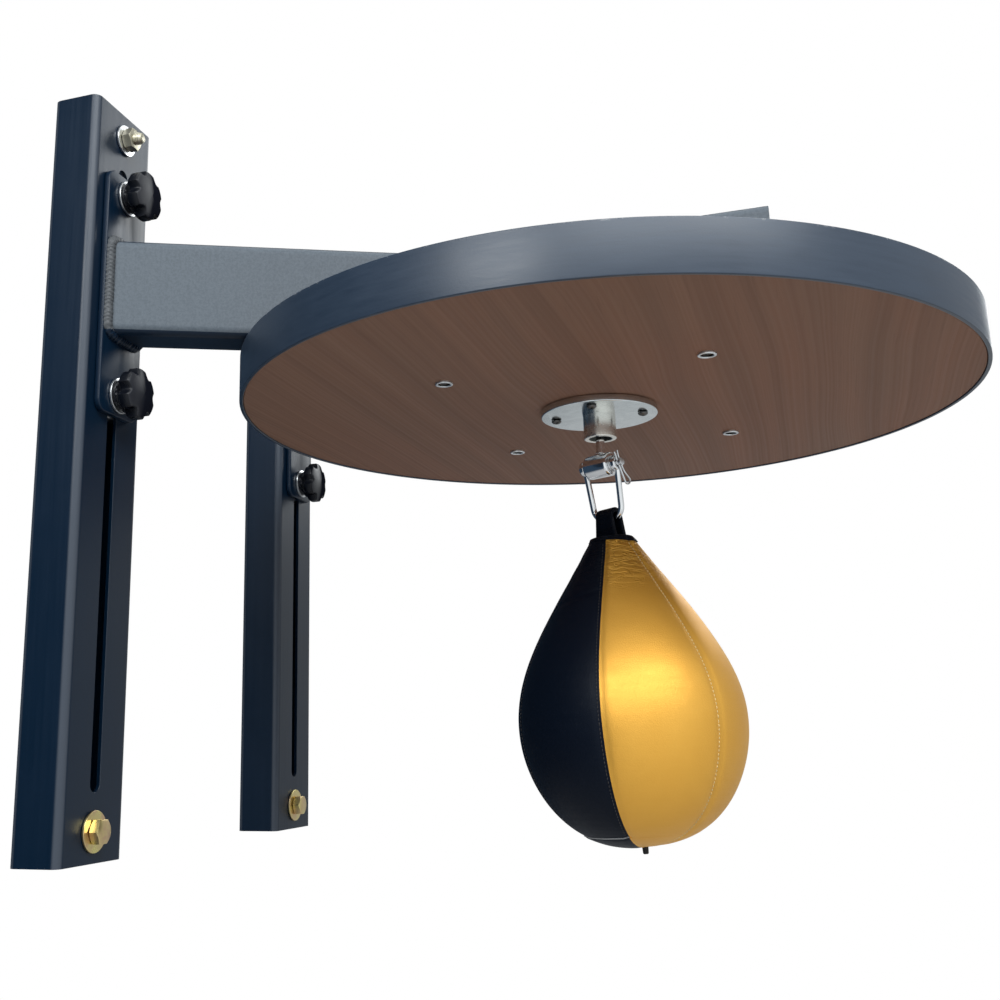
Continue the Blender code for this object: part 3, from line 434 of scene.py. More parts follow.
class Graph:
    """A node tree that is being wired."""

    def __init__(self, tree: Tree) -> None:
        """Wires into a tree."""
        self.tree = tree

    def node(self, kind: str, links: dict[str | int, object] | None = None,
             **settings: object) -> Node:
        """Adds a node.

        Args:
            kind: the node's type, without its ShaderNode prefix.
            links: what goes into its inputs, by name or number: a socket, a number or a colour.
            settings: its own properties.

        Returns:
            The node.
        """
        node = self.tree.nodes.new("ShaderNode" + kind)
        for key, value in settings.items():
            setattr(node, key, value)
        for key, value in (links or {}).items():
            self.feed(node.inputs[key], value)
        return node

    def feed(self, socket: Socket, value: object) -> None:
        """Links a socket, or sets its own value."""
        if isinstance(value, Socket):
            self.tree.links.new(value, socket)
        elif isinstance(value, tuple) and len(value) == 3 and socket.type == "RGBA":
            socket.default_value = (*value, 1)
        else:
            socket.default_value = value

    def math(self, operation: str, *values: object, clamp: bool = False) -> Socket:
        """The result of a Math node."""
        links = dict(enumerate(values))
        return self.node("Math", links, operation=operation, use_clamp=clamp).outputs[0]

    def plus(self, first: object, second: object) -> Socket:
        """The sum of two values."""
        return self.math("ADD", first, second)

    def minus(self, first: object, second: object) -> Socket:
        """The difference of two values."""
        return self.math("SUBTRACT", first, second)

    def times(self, first: object, second: object) -> Socket:
        """The product of two values."""
        return self.math("MULTIPLY", first, second)

    def axis(self, vector: object, name: str) -> Socket:
        """One part of a vector: X, Y or Z."""
        return self.node("SeparateXYZ", {0: vector}).outputs[name]

    def ramp(self, value: object, low: float, high: float, to_low: float = 0.0,
             to_high: float = 1.0) -> Socket:
        """A value carried smoothly from one range to another."""
        links = {"Value": value, "From Min": low, "From Max": high, "To Min": to_low,
                 "To Max": to_high}
        return self.node("MapRange", links, interpolation_type="SMOOTHSTEP").outputs["Result"]

    def mix(self, factor: object, first: object, second: object) -> Socket:
        """A blend of two colours."""
        return self.node("Mix", {0: factor, 6: first, 7: second}, data_type="RGBA").outputs[2]

    def stretched(self, vector: object, scale: Colour) -> Socket:
        """Coordinates scaled along each axis."""
        return self.node("Mapping", {"Vector": vector, "Scale": scale}).outputs[0]

    def noise(self, vector: object, scale: object, detail: float = 3.0, distortion: float = 0.0,
              roughness: float = 0.55) -> Socket:
        """A noise texture's value."""
        return self.node("TexNoise", {"Vector": vector, "Scale": scale, "Detail": detail,
                                      "Roughness": roughness,
                                      "Distortion": distortion}).outputs["Fac"]


class SurfaceGroups:
    """Effects that several finishes share, each a node group that is built once."""

    def __init__(self) -> None:
        """Builds every group."""
        self.patches = self._tone("patches", 6, 0.6, 0.55)
        self.speckle = self._speckle()
        self.edge_chips = self._edge_chips()
        self.hide_grain = self._hide_grain()
        self.streaks = self._tone("streaks", 1, 0.2, 0.65)
        self.dust = self._dust()
        self.wood_lines = self._wood_lines()

    @staticmethod
    def _start(name: str, outputs: Sequence[str],
               **inputs: float) -> tuple[Graph, Sockets, Sockets]:
        """Opens a group that takes a vector and some numbers.

        Args:
            name: the group's name.
            outputs: the names of its outputs, all numbers.
            inputs: its number inputs, with their first values.

        Returns:
            Its graph, its inputs and its outputs.
        """
        tree = bpy.data.node_groups.new(name, "ShaderNodeTree")
        tree.interface.new_socket("Vector", in_out="INPUT", socket_type="NodeSocketVector")
        for label, value in inputs.items():
            socket = tree.interface.new_socket(label, in_out="INPUT", socket_type="NodeSocketFloat")
            socket.default_value = value
        for label in outputs:
            tree.interface.new_socket(label, in_out="OUTPUT", socket_type="NodeSocketFloat")
        entry, end = tree.nodes.new("NodeGroupInput"), tree.nodes.new("NodeGroupOutput")
        return Graph(tree), entry.outputs, end.inputs

    def _tone(self, name: str, scale: float, distortion: float, roughness: float) -> Tree:
        """Uneven tone: broad patches, or lines that run one way over stretched coordinates."""
        graph, given, out = self._start(name, ["Mask"], Scale=scale, Contrast=1)
        cloud = graph.noise(given["Vector"], given["Scale"], 4, distortion, roughness)
        lifted = graph.times(graph.minus(cloud, 0.5), given["Contrast"])
        graph.feed(out["Mask"], graph.math("ADD", lifted, 0.5, clamp=True))
        return graph.tree

    def _speckle(self) -> Tree:
        """The fine pebbling of sprayed paint or moulded plastic."""
        graph, given, out = self._start("speckle", ["Height", "Mask"], Scale=900)
        coarse = graph.noise(given["Vector"], given["Scale"], 2)
        finer = graph.noise(given["Vector"], graph.times(given["Scale"], 2.3), 1)
        height = graph.plus(graph.times(coarse, 0.65), graph.times(finer, 0.35))
        graph.feed(out["Height"], height)
        graph.feed(out["Mask"], graph.ramp(height, 0.4, 0.62))
        return graph.tree

    def _edge_chips(self) -> Tree:
        """Where a finish is rubbed or chipped off along edges."""
        graph, given, out = self._start("edge_chips", ["Rubbed", "Chipped"], Reach=1.5 * MM,
                                        Scale=60, Amount=0.5)
        rounded = graph.node("Bevel", {"Radius": given["Reach"]}, samples=6).outputs[0]
        plain = graph.node("NewGeometry").outputs["Normal"]
        facing = graph.node("VectorMath", {0: rounded, 1: plain}, operation="DOT_PRODUCT")
        edge = graph.ramp(facing.outputs["Value"], 0.995, 0.86)
        patch = graph.noise(given["Vector"], given["Scale"], 5, 0.4, 0.7)
        limit = graph.minus(0.78, graph.times(given["Amount"], 0.3))
        chip = graph.ramp(graph.minus(patch, limit), 0.0, 0.03)
        graph.feed(out["Rubbed"], graph.times(edge, patch))
        graph.feed(out["Chipped"], graph.times(edge, chip))
        return graph.tree

    def _hide_grain(self) -> Tree:
        """Leather's pebbled cells and the fine lines between them."""
        graph, given, out = self._start("hide_grain", ["Height", "Lines"], Scale=700)
        wander = graph.node("TexNoise", {"Vector": given["Vector"], "Scale": 90.0})
        bent = graph.node("MixRGB", {"Fac": 0.012, 1: given["Vector"], 2: wander.outputs["Color"]})
        cells = graph.node("TexVoronoi", {"Vector": bent.outputs[0], "Scale": given["Scale"]},
                           feature="DISTANCE_TO_EDGE").outputs["Distance"]
        pebble = graph.ramp(cells, 0.0, 0.22)
        broad = graph.noise(given["Vector"], graph.times(given["Scale"], 0.16), 3)
        graph.feed(out["Height"], graph.plus(graph.times(pebble, 0.6), graph.times(broad, 0.4)))
        graph.feed(out["Lines"], graph.minus(1.0, pebble))
        return graph.tree

    def _dust(self) -> Tree:
        """Dust on what faces up."""
        graph, given, out = self._start("dust", ["Mask"], Amount=0.3)
        lying = graph.ramp(graph.axis(graph.node("NewGeometry").outputs["Normal"], "Z"), 0.35, 0.95)
        cloud = graph.ramp(graph.noise(given["Vector"], 24.0, 5), 0.35, 0.7)
        graph.feed(out["Mask"], graph.times(graph.times(lying, cloud), given["Amount"]))
        return graph.tree

    def _wood_lines(self) -> Tree:
        """Growth lines along X that wander and bow together."""
        graph, given, out = self._start("wood_lines", ["Broad", "Fine"], Wander=0.1)
        sway = graph.noise(graph.stretched(given["Vector"], (1.5, 4.5, 1.0)), 1.0, 2)
        line = graph.plus(graph.axis(given["Vector"], "Y"), graph.times(sway, given["Wander"]))
        for label, scale, detail in (("Broad", 48.0, 4.0), ("Fine", 340.0, 2.0)):
            cut = graph.node("TexNoise", {"W": line, "Scale": scale, "Detail": detail},
                             noise_dimensions="1D")
            graph.feed(out[label], graph.ramp(cut.outputs["Fac"], 0.3, 0.7))
        return graph.tree


class Surface(Graph):
    """A new material's node tree, with its shader and the shared effects at hand."""

    def __init__(self, name: str, groups: SurfaceGroups | None = None) -> None:
        """Starts a material with a plain shader."""
        self.material = bpy.data.materials.new(name)
        self.material.use_nodes = True
        super().__init__(self.material.node_tree)
        self.groups = groups
        self.shader = self.tree.nodes["Principled BSDF"]
        self.place = self.node("TexCoord").outputs["Object"]

    def effect(self, kind: str, stretch: Colour | None = None, **values: object) -> Sockets:
        """Places a shared effect.

        Args:
            kind: the effect's name.
            stretch: the scale of its coordinates along each axis, if not as they are.
            values: its other inputs.

        Returns:
            The effect's outputs.
        """
        vector = self.stretched(self.place, stretch) if stretch else self.place
        tree = getattr(self.groups, kind)
        return self.node("Group", {"Vector": vector, **values}, node_tree=tree).outputs

    def facing(self, axis: str) -> Socket:
        """How far the surface faces along an axis of its piece."""
        return self.axis(self.node("TexCoord").outputs["Normal"], axis)

    def shade(self, values: dict[str, object]) -> None:
        """Feeds the shader's inputs."""
        for key, value in values.items():
            self.feed(self.shader.inputs[key], value)

    def bump(self, height: object, depth: float) -> None:
        """Raises the surface by a height map whose full step is a depth in metres."""
        node = self.node("Bump", {"Height": height, "Distance": depth, "Strength": 1.0})
        self.shade({"Normal": node.outputs[0]})


@dataclass(frozen=True)
class Finish:
    """A surface finish, made into one material."""

    slot: Slot
    name: str
    colour: Colour
    roughness: float

    def material(self, groups: SurfaceGroups) -> bpy.types.Material:
        """Makes the finish's material from the shared effects."""
        graph = Surface(self.name, groups)
        self.wire(graph)
        return graph.material

    def wire(self, graph: Surface) -> None:
        """Feeds the shader, in each kind of finish its own way."""
        raise NotImplementedError


@dataclass(frozen=True)
class Paint(Finish):
    """Sprayed paint over steel, chipped along its edges above a height."""

    patch_colour: Colour = (0.002, 0.012, 0.030)
    chip_colour: Colour = (0.30, 0.31, 0.32)
    dust_colour: Colour = (0.2, 0.2, 0.2)
    sheen: float = 0.25
    grain: float = 650.0
    pebble: float = 0.05 * MM
    mottle: float = 0.0
    chips: float = 0.4
    chip_reach: float = 1.5 * MM
    chip_from: float = -1.0
    brushed: Colour = (420.0, 420.0, 9.0)
    corner_highlight_colour: Colour | None = None

    def wire(self, graph: Surface) -> None:
        """Dark paint with uneven tone, pebbling, rubbed lines, edge chips and a little dust."""
        tone = graph.effect("patches", Scale=9.0, Contrast=1.6)[0]
        grain = graph.effect("speckle", Scale=self.grain)
        lines = graph.effect("streaks", self.brushed, Contrast=2.0)[0]
        wear = graph.effect("edge_chips", Scale=140.0, Reach=self.chip_reach, Amount=self.chips)
        dust = graph.effect("dust", Amount=0.25)[0]
        uneven = graph.plus(graph.times(tone, 0.5), graph.times(lines, 0.5))
        coat = graph.mix(uneven, self.colour, self.patch_colour)
        # Rounded corners, where the normal leans along both X and Y, turn paler: a painted
        # highlight.
        if self.corner_highlight_colour:
            both = graph.math("ABSOLUTE", graph.times(graph.facing("X"), graph.facing("Y")))
            coat = graph.mix(graph.ramp(both, 0.06, 0.4), coat, self.corner_highlight_colour)
        dark = tuple(0.45 * c for c in self.colour)
        coat = graph.mix(graph.times(grain["Mask"], self.mottle), coat, dark)
        above = graph.ramp(graph.axis(graph.place, "Z"), self.chip_from, self.chip_from + 1 * MM)
        coat = graph.mix(graph.times(wear["Chipped"], above), coat, self.chip_colour)
        rough = graph.plus(graph.times(graph.minus(tone, 0.5), 0.1), graph.times(lines, 0.1))
        rough = graph.plus(rough, self.roughness)
        graph.shade({"Base Color": graph.mix(dust, coat, self.dust_colour),
                     "Roughness": graph.minus(rough, graph.times(wear["Rubbed"], 0.12)),
                     "Specular IOR Level": self.sheen})
        graph.bump(grain["Height"], self.pebble)


@dataclass(frozen=True)
class Metal(Finish):
    """Plated or polished metal."""

    dull_colour: Colour = (0.55, 0.56, 0.57)
    drawn: Colour = (400.0, 400.0, 400.0)
    spread: float = 0.14
    depth: float = 0.004 * MM

    def wire(self, graph: Surface) -> None:
        """Metal with cloudy plating and fine marks."""
        cloud = graph.effect("patches", Scale=85.0, Contrast=2.0)[0]
        marks = graph.effect("streaks", self.drawn, Contrast=1.8)[0]
        rough = graph.plus(graph.times(cloud, self.spread), graph.times(marks, self.spread / 2))
        graph.shade({"Base Color": graph.mix(cloud, self.colour, self.dull_colour),
                     "Roughness": graph.plus(rough, self.roughness), "Metallic": 1.0})
        graph.bump(marks, self.depth)


@dataclass(frozen=True)
class Moulded(Finish):
    """Moulded plastic, nylon or rubber, whose gloss can be turned down on what faces right as
    painted shade.
    """

    rub_colour: Colour = (0.05, 0.05, 0.055)
    pebble: float = 0.03 * MM
    sheen: float = 0.35
    right_side_painted_shade: bool = False

    def wire(self, graph: Surface) -> None:
        """A pebbled skin, paler where fingers rub its edges."""
        grain = graph.effect("speckle", Scale=1500.0)
        wear = graph.effect("edge_chips", Scale=220.0, Amount=0.5)
        tone = graph.effect("patches", Scale=60.0, Contrast=1.2)[0]
        gloss: object = self.sheen
        # Turning the gloss down on what faces right darkens that side: painted shade.
        if self.right_side_painted_shade:
            shown = graph.minus(1.0, graph.ramp(graph.facing("X"), -0.16, 0.03))
            gloss = graph.times(shown, self.sheen)
        graph.shade({"Base Color": graph.mix(wear["Rubbed"], self.colour, self.rub_colour),
                     "Roughness": graph.plus(self.roughness, graph.times(tone, 0.12)),
                     "Specular IOR Level": gloss})
        graph.bump(grain["Height"], self.pebble)


@dataclass(frozen=True)
class Veneer(Finish):
    """Stained veneer with its grain along X."""

    dark_colour: Colour = (0.176, 0.100, 0.068)
    red_colour: Colour = (0.300, 0.135, 0.082)
    sheen: float = 0.12
    pore_depth: float = 0.03 * MM

    def wire(self, graph: Surface) -> None:
        """Growth lines, fine pores and a few redder bands, all along the grain."""
        bands = graph.effect("patches", (0.5, 2.4, 1.0), Scale=3.0, Contrast=2.6)[0]
        lines = graph.effect("wood_lines", Wander=0.05)
        pores = graph.effect("streaks", (14.0, 420.0, 420.0), Contrast=2.4)[0]
        wood = graph.mix(graph.times(bands, 0.6), self.colour, self.red_colour)
        for mask, share in ((lines["Broad"], 0.42), (lines["Fine"], 0.14),
                            (graph.ramp(pores, 0.66, 0.95), 0.3)):
            wood = graph.mix(graph.times(mask, share), wood, self.dark_colour)
        graph.shade({"Base Color": wood, "Specular IOR Level": self.sheen,
                     "Roughness": graph.plus(self.roughness, graph.times(lines["Fine"], 0.1))})
        graph.bump(pores, self.pore_depth)


@dataclass(frozen=True)
class Leather(Finish):
    """Coated leather, creased under the collar."""

    tone_colour: Colour = (0.02, 0.02, 0.03)
    shine: float = 0.0
    sheen: float = 0.5
    grain: float = 0.06 * MM
    crease_from: float = 0.0
    crease_full: float = 1.0
    crinkle: float = 0.35 * MM

    def wire(self, graph: Surface) -> None:
        """Grained hide with a level tone, fine sideways rolling marks and crinkles up high."""
        hide = graph.effect("hide_grain", Scale=620.0)
        tone = graph.effect("patches", Scale=14.0, Contrast=1.8)[0]
        rolled = graph.effect("streaks", (28.0, 28.0, 420.0), Contrast=1.6)[0]
        high = graph.ramp(graph.axis(graph.place, "Z"), self.crease_from, self.crease_full)
        folds = graph.noise(graph.stretched(graph.place, (60.0, 60.0, 210.0)), 1.0, 3, 1.2)
        ridge = graph.math("ABSOLUTE", graph.minus(folds, 0.5))
        crease = graph.times(graph.ramp(ridge, 0.0, 0.09, 1.0, 0.0), high)
        mixed = graph.mix(tone, self.colour, self.tone_colour)
        lined = graph.mix(graph.times(hide["Lines"], 0.3), mixed, self.tone_colour)
        graph.shade({"Base Color": lined, "Metallic": self.shine, "Specular IOR Level": self.sheen,
                     "Roughness": graph.plus(self.roughness, graph.times(rolled, 0.12))})
        grained = graph.plus(graph.times(hide["Height"], self.grain),
                             graph.times(rolled, self.grain / 2))
        graph.bump(graph.minus(grained, graph.times(crease, self.crinkle)), 1.0)


@dataclass(frozen=True)
class Thread(Finish):
    """Twisted sewing thread."""

    twist_depth: float = 0.1 * MM

    def wire(self, graph: Surface) -> None:
        """Waxed thread with a fine twist and uneven tone."""
        twist = graph.effect("speckle", Scale=2600.0)
        dark = tuple(0.6 * c for c in self.colour)
        graph.shade({"Base Color": graph.mix(twist["Mask"], dark, self.colour),
                     "Roughness": graph.plus(self.roughness, graph.times(twist["Mask"], 0.1))})
        graph.bump(twist["Height"], self.twist_depth)


class Finishes:
    """Every finish of the platform, made once."""

    TABLE = {
        "paint": Paint(Slot.PAINT, "blue_black_paint", (0.001, 0.009, 0.023), 0.29),
        # The uprights' paint turns paler on its rounded corners: a painted highlight.
        "upright": Paint(Slot.PAINT, "upright_paint", (0.001, 0.009, 0.023), 0.29,
                         corner_highlight_colour=(0.054, 0.066, 0.086)),
        # The rim's paint is paler than the same paint on the uprights: painted light on the band,
        # with real chips and scuffs.
        "rim": Paint(Slot.PAINT, "rim_paint", (0.017, 0.029, 0.050), 0.32,
                     patch_colour=(0.034, 0.052, 0.081), sheen=0.5, chips=0.72, chip_reach=3 * MM,
                     chip_from=Span.of("rim_band").centre.z,
                     brushed=(26.0, 26.0, 300.0)),
        # A paler copy of the blue-black paint for the arms' sides: painted light.
        "arm": Paint(Slot.PAINT, "arm_paint", (0.088, 0.108, 0.130), 0.46,
                     patch_colour=(0.116, 0.138, 0.160), grain=520.0, pebble=0.15 * MM, mottle=0.3),
        "weld": Paint(Slot.PAINT, "painted_weld", (0.045, 0.052, 0.060), 0.36,
                      patch_colour=(0.10, 0.105, 0.11), pebble=0.2 * MM),
        "zinc": Metal(Slot.ZINC, "zinc_plate", (0.80, 0.81, 0.82), 0.2),
        "dull_zinc": Metal(Slot.ZINC, "dull_zinc_plate", (0.50, 0.47, 0.36), 0.3,
                           dull_colour=(0.32, 0.30, 0.24)),
        "yellow_zinc": Metal(Slot.YELLOW_ZINC, "yellow_zinc", (0.74, 0.66, 0.26), 0.22,
                             dull_colour=(0.58, 0.38, 0.25)),
        "chrome": Metal(Slot.CHROME, "chrome", (0.86, 0.86, 0.86), 0.05,
                        dull_colour=(0.74, 0.74, 0.75), spread=0.08),
        "satin": Metal(Slot.CHROME, "satin_barrel", (0.80, 0.775, 0.72), 0.2,
                       dull_colour=(0.72, 0.69, 0.63), spread=0.08),
        "flange": Metal(Slot.CHROME, "flange_plate", (0.70, 0.74, 0.75), 0.1,
                        dull_colour=(0.58, 0.62, 0.63), spread=0.08),
        "screw": Metal(Slot.ZINC, "blackened_screw", (0.17, 0.165, 0.16), 0.28,
                       dull_colour=(0.09, 0.085, 0.08)),
        # Near-black metal for the insides of sockets and bores: painted shade in the recesses.
        "bore": Metal(Slot.CHROME, "oiled_bore", (0.05, 0.055, 0.05), 0.3,
                      dull_colour=(0.03, 0.03, 0.03)),
        "plastic": Moulded(Slot.PLASTIC, "black_plastic", (0.003, 0.004, 0.007), 0.22,
                           rub_colour=(0.02, 0.02, 0.023), sheen=0.22),
        # The knob ends get a paler, glossier copy of the black plastic, dull on what faces right:
        # painted highlight on the left and painted shade on the right.
        "cap": Moulded(Slot.PLASTIC, "knob_end", (0.008, 0.009, 0.014), 0.36,
                       rub_colour=(0.02, 0.02, 0.023), sheen=0.5, right_side_painted_shade=True),
        "nylon": Moulded(Slot.NYLON, "nylon", (0.70, 0.68, 0.60), 0.4,
                         rub_colour=(0.78, 0.76, 0.7)),
        "rubber": Moulded(Slot.RUBBER, "black_rubber", (0.016, 0.016, 0.017), 0.62),
        "veneer": Veneer(Slot.VENEER, "brown_veneer", (0.258, 0.152, 0.104), 0.55),
        "gold": Leather(Slot.GOLD, "gold_leather", (0.84, 0.452, 0.072), 0.41,
                        tone_colour=(0.77, 0.392, 0.054), shine=0.65, crinkle=0.7 * MM),
        "black": Leather(Slot.BLACK, "black_leather", (0.002, 0.004, 0.010), 0.4,
                         tone_colour=(0.003, 0.006, 0.013), sheen=0.1),
        "gold_thread": Thread(Slot.GOLD, "gold_thread", (0.95, 0.74, 0.34), 0.5),
        "black_thread": Thread(Slot.BLACK, "black_thread", (0.02, 0.018, 0.02), 0.55),
        "edge": Thread(Slot.BLACK, "cut_edge", (0.42, 0.42, 0.42), 0.7),
    }

    def __init__(self) -> None:
        """Makes the groups and then the materials."""
        groups = SurfaceGroups()
        bag = Span.of("bag_cover")
        creased = {"crease_from": bag.high.z - 52 * MM, "crease_full": bag.high.z - 6 * MM}
        self.made: dict[str, bpy.types.Material] = {}
        for key, finish in self.TABLE.items():
            if isinstance(finish, Leather):
                finish = replace(finish, **creased)
            self.made[key] = finish.material(groups)

    def slot(self, key: str) -> Slot:
        """The record's slot of a finish."""
        return self.TABLE[key].slot


# Pieces

@dataclass
class SubAssembly:
    """A group of pieces that this script builds and dresses."""

    finishes: Finishes

    def dress(self, name: str, mesh: Mesh, finish: str | Sequence[str], body: str,
              *nodes: str) -> Piece:
        """Adds a piece to the object.

        Args:
            name: the piece's name.
            mesh: its mesh, in the CAD's frame.
            finish: the key of its finish, or of one for each material number.
            body: the CAD body that it rides on.
            nodes: the CAD nodes that it stands for.

        Returns:
            The piece.
        """
        keys = [finish] if isinstance(finish, str) else list(finish)
        mesh.materials.clear()
        for key in keys:
            mesh.materials.append(self.finishes.made[key])
        piece = linked(name, mesh)
        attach(piece, body)
        self.finishes.slot(keys[0]).value
        if nodes:
            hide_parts(*nodes)
        LOG.info("%s rides on %s", name, body)
        return piece

    def sheet(self, name: str, node: str, loops: Sequence[Loop], edge: float, finish: str,
              body: str, facing: Matrix = FACING_OUT) -> None:
        """Adds a flat piece in the place of a CAD node, and as thick.

        Args:
            name: the piece's name.
            node: the CAD node that it stands for.
            loops: its outline and then its holes.
            edge: its edges' radius.
            finish: the key of its finish.
            body: the CAD body that it rides on.
            facing: how it is turned from lying flat.
        """
        span = Span.of(node)
        thickness = span.size.y if facing is FACING_OUT else span.size.z
        mesh = plate(node, loops, thickness, edge)
        mesh.transform(Matrix.Translation(span.centre) @ facing)
        self.dress(name, mesh, finish, body, node)

    @staticmethod
    def mark(piece: Piece, second: Callable[[bpy.types.MeshPolygon], bool]) -> None:
        """Gives the faces that pass a test the piece's second finish, and the rest its first."""
        for face in piece.data.polygons:
            face.material_index = int(second(face))

    @staticmethod
    def soften(piece: Piece, width: float) -> None:
        """Rounds a piece's hard edges, with even shading on its flats."""
        bevel = piece.modifiers.new("eased_edges", "BEVEL")
        bevel.width = width
        bevel.segments = 2
        bevel.limit_method = "ANGLE"
        bevel.angle_limit = math.radians(SHARP)
        bevel.use_clamp_overlap = True
        even = piece.modifiers.new("even_flats", "WEIGHTED_NORMAL")
        even.keep_sharp = True


@dataclass
class WallFrame(SubAssembly):
    """Both uprights and what fixes them to the wall."""

    tube_wall: float = 3 * MM
    tube_corner: float = 6.5 * MM
    slot_width: float = 12.6 * MM
    slot_inset: float = 50 * MM
    hole: float = 11 * MM
    edge: float = 0.5 * MM
    nut_flats: float = 17 * MM
    head_gap: float = 0.04
    thread_pitch: float = 1.5 * MM

    def build(self) -> None:
        """Builds the frame on both sides."""
        for side in Side:
            self.upright(side)
            self.top_fixing(side)
            self.low_fixing(side)

    def upright(self, side: Side) -> None:
        """A slotted tube with a wall hole near each end."""
        span = Span.of(f"upright_{side.label}")
        width, depth, height = span.size
        inner = 2 * self.tube_wall
        tube = plate("upright", [
            rounded_rectangle(width, depth, self.tube_corner),
            rounded_rectangle(width - inner, depth - inner, self.tube_corner - self.tube_wall)],
            height, 0.05 * MM)
        tube.transform(Matrix.Translation(span.centre))
        slot = plate("slot", [rounded_rectangle(self.slot_width, height - 2 * self.slot_inset,
                                                self.slot_width / 2 * 0.999, 12)], 2 * inner, 0)
        front = Vector((span.centre.x, span.low.y, span.centre.z))
        tube = carved(tube, moved(slot, Matrix.Translation(front) @ FACING_OUT), Carve.CUT)
        drill = plate("wall_hole", [circle(self.hole, steps=32)], 2 * depth, 0)
        for node in (f"wall_nut_{side.label}", f"wall_bolt_{side.label}"):
            place = Vector((span.centre.x, span.centre.y, Span.of(node).centre.z))
            tube = carved(tube, moved(drill, Matrix.Translation(place) @ FACING_OUT), Carve.CUT)
        piece = self.dress(f"upright_tube_{side.label}", tube, "upright", "wall_frame",
                           f"upright_{side.label}")
        self.soften(piece, self.edge)

    def washer(self, node: str, finish: str) -> None:
        """A stamped washer with rounded edges."""
        loops = [circle(Span.of(node).size.x, steps=64), circle(self.hole, steps=32)]
        self.sheet(node + "_ring", node, loops, WASHER_EDGE, finish, "wall_frame")

    def top_fixing(self, side: Side) -> None:
        """A threaded stud with its nut and washer."""
        label = side.label
        self.washer(f"wall_washer_top_{label}", "zinc")
        stud, nut = Span.of(f"wall_stud_{label}"), Span.of(f"wall_nut_{label}")
        seat = Matrix.Translation((stud.centre.x, nut.high.y, stud.centre.z)) @ FACING_OUT
        body = hexagon_body("wall_nut", self.nut_flats, nut.size.y)
        self.dress(f"hex_nut_{label}", moved(body, seat), "dull_zinc", "wall_frame",
                   f"wall_nut_{label}")
        rod = Shell().lathe(threaded(stud.size.x / 2, nut.high.y - stud.high.y,
                                     nut.high.y - stud.low.y, self.thread_pitch), steps=32)
        self.dress(f"threaded_stud_{label}", moved(rod.mesh("wall_stud", 80), seat), "dull_zinc",
                   "wall_frame", f"wall_stud_{label}")

    def low_fixing(self, side: Side) -> None:
        """A hexagon bolt with its washer."""
        label = side.label
        self.washer(f"wall_washer_low_{label}", "yellow_zinc")
        bolt, ring = Span.of(f"wall_bolt_{label}"), Span.of(f"wall_washer_low_{label}")
        seat_y = ring.low.y - (ring.low.y - bolt.low.y) * self.head_gap
        seat = Matrix.Translation((bolt.centre.x, seat_y, bolt.centre.z)) @ FACING_OUT
        head = hexagon_body("wall_bolt", self.nut_flats, seat_y - bolt.low.y)
        radius = (self.hole - 1 * MM) / 2
        end, root = seat_y - bolt.high.y, 1 * MM
        shank = Shell().lathe([(0, end), (radius, end), (radius, root), (0, root)],
                              steps=32).mesh("shank")
        whole = merged("wall_bolt", [head, shank])
        self.dress(f"hex_bolt_{label}", moved(whole, seat), "yellow_zinc", "wall_frame",
                   f"wall_bolt_{label}")


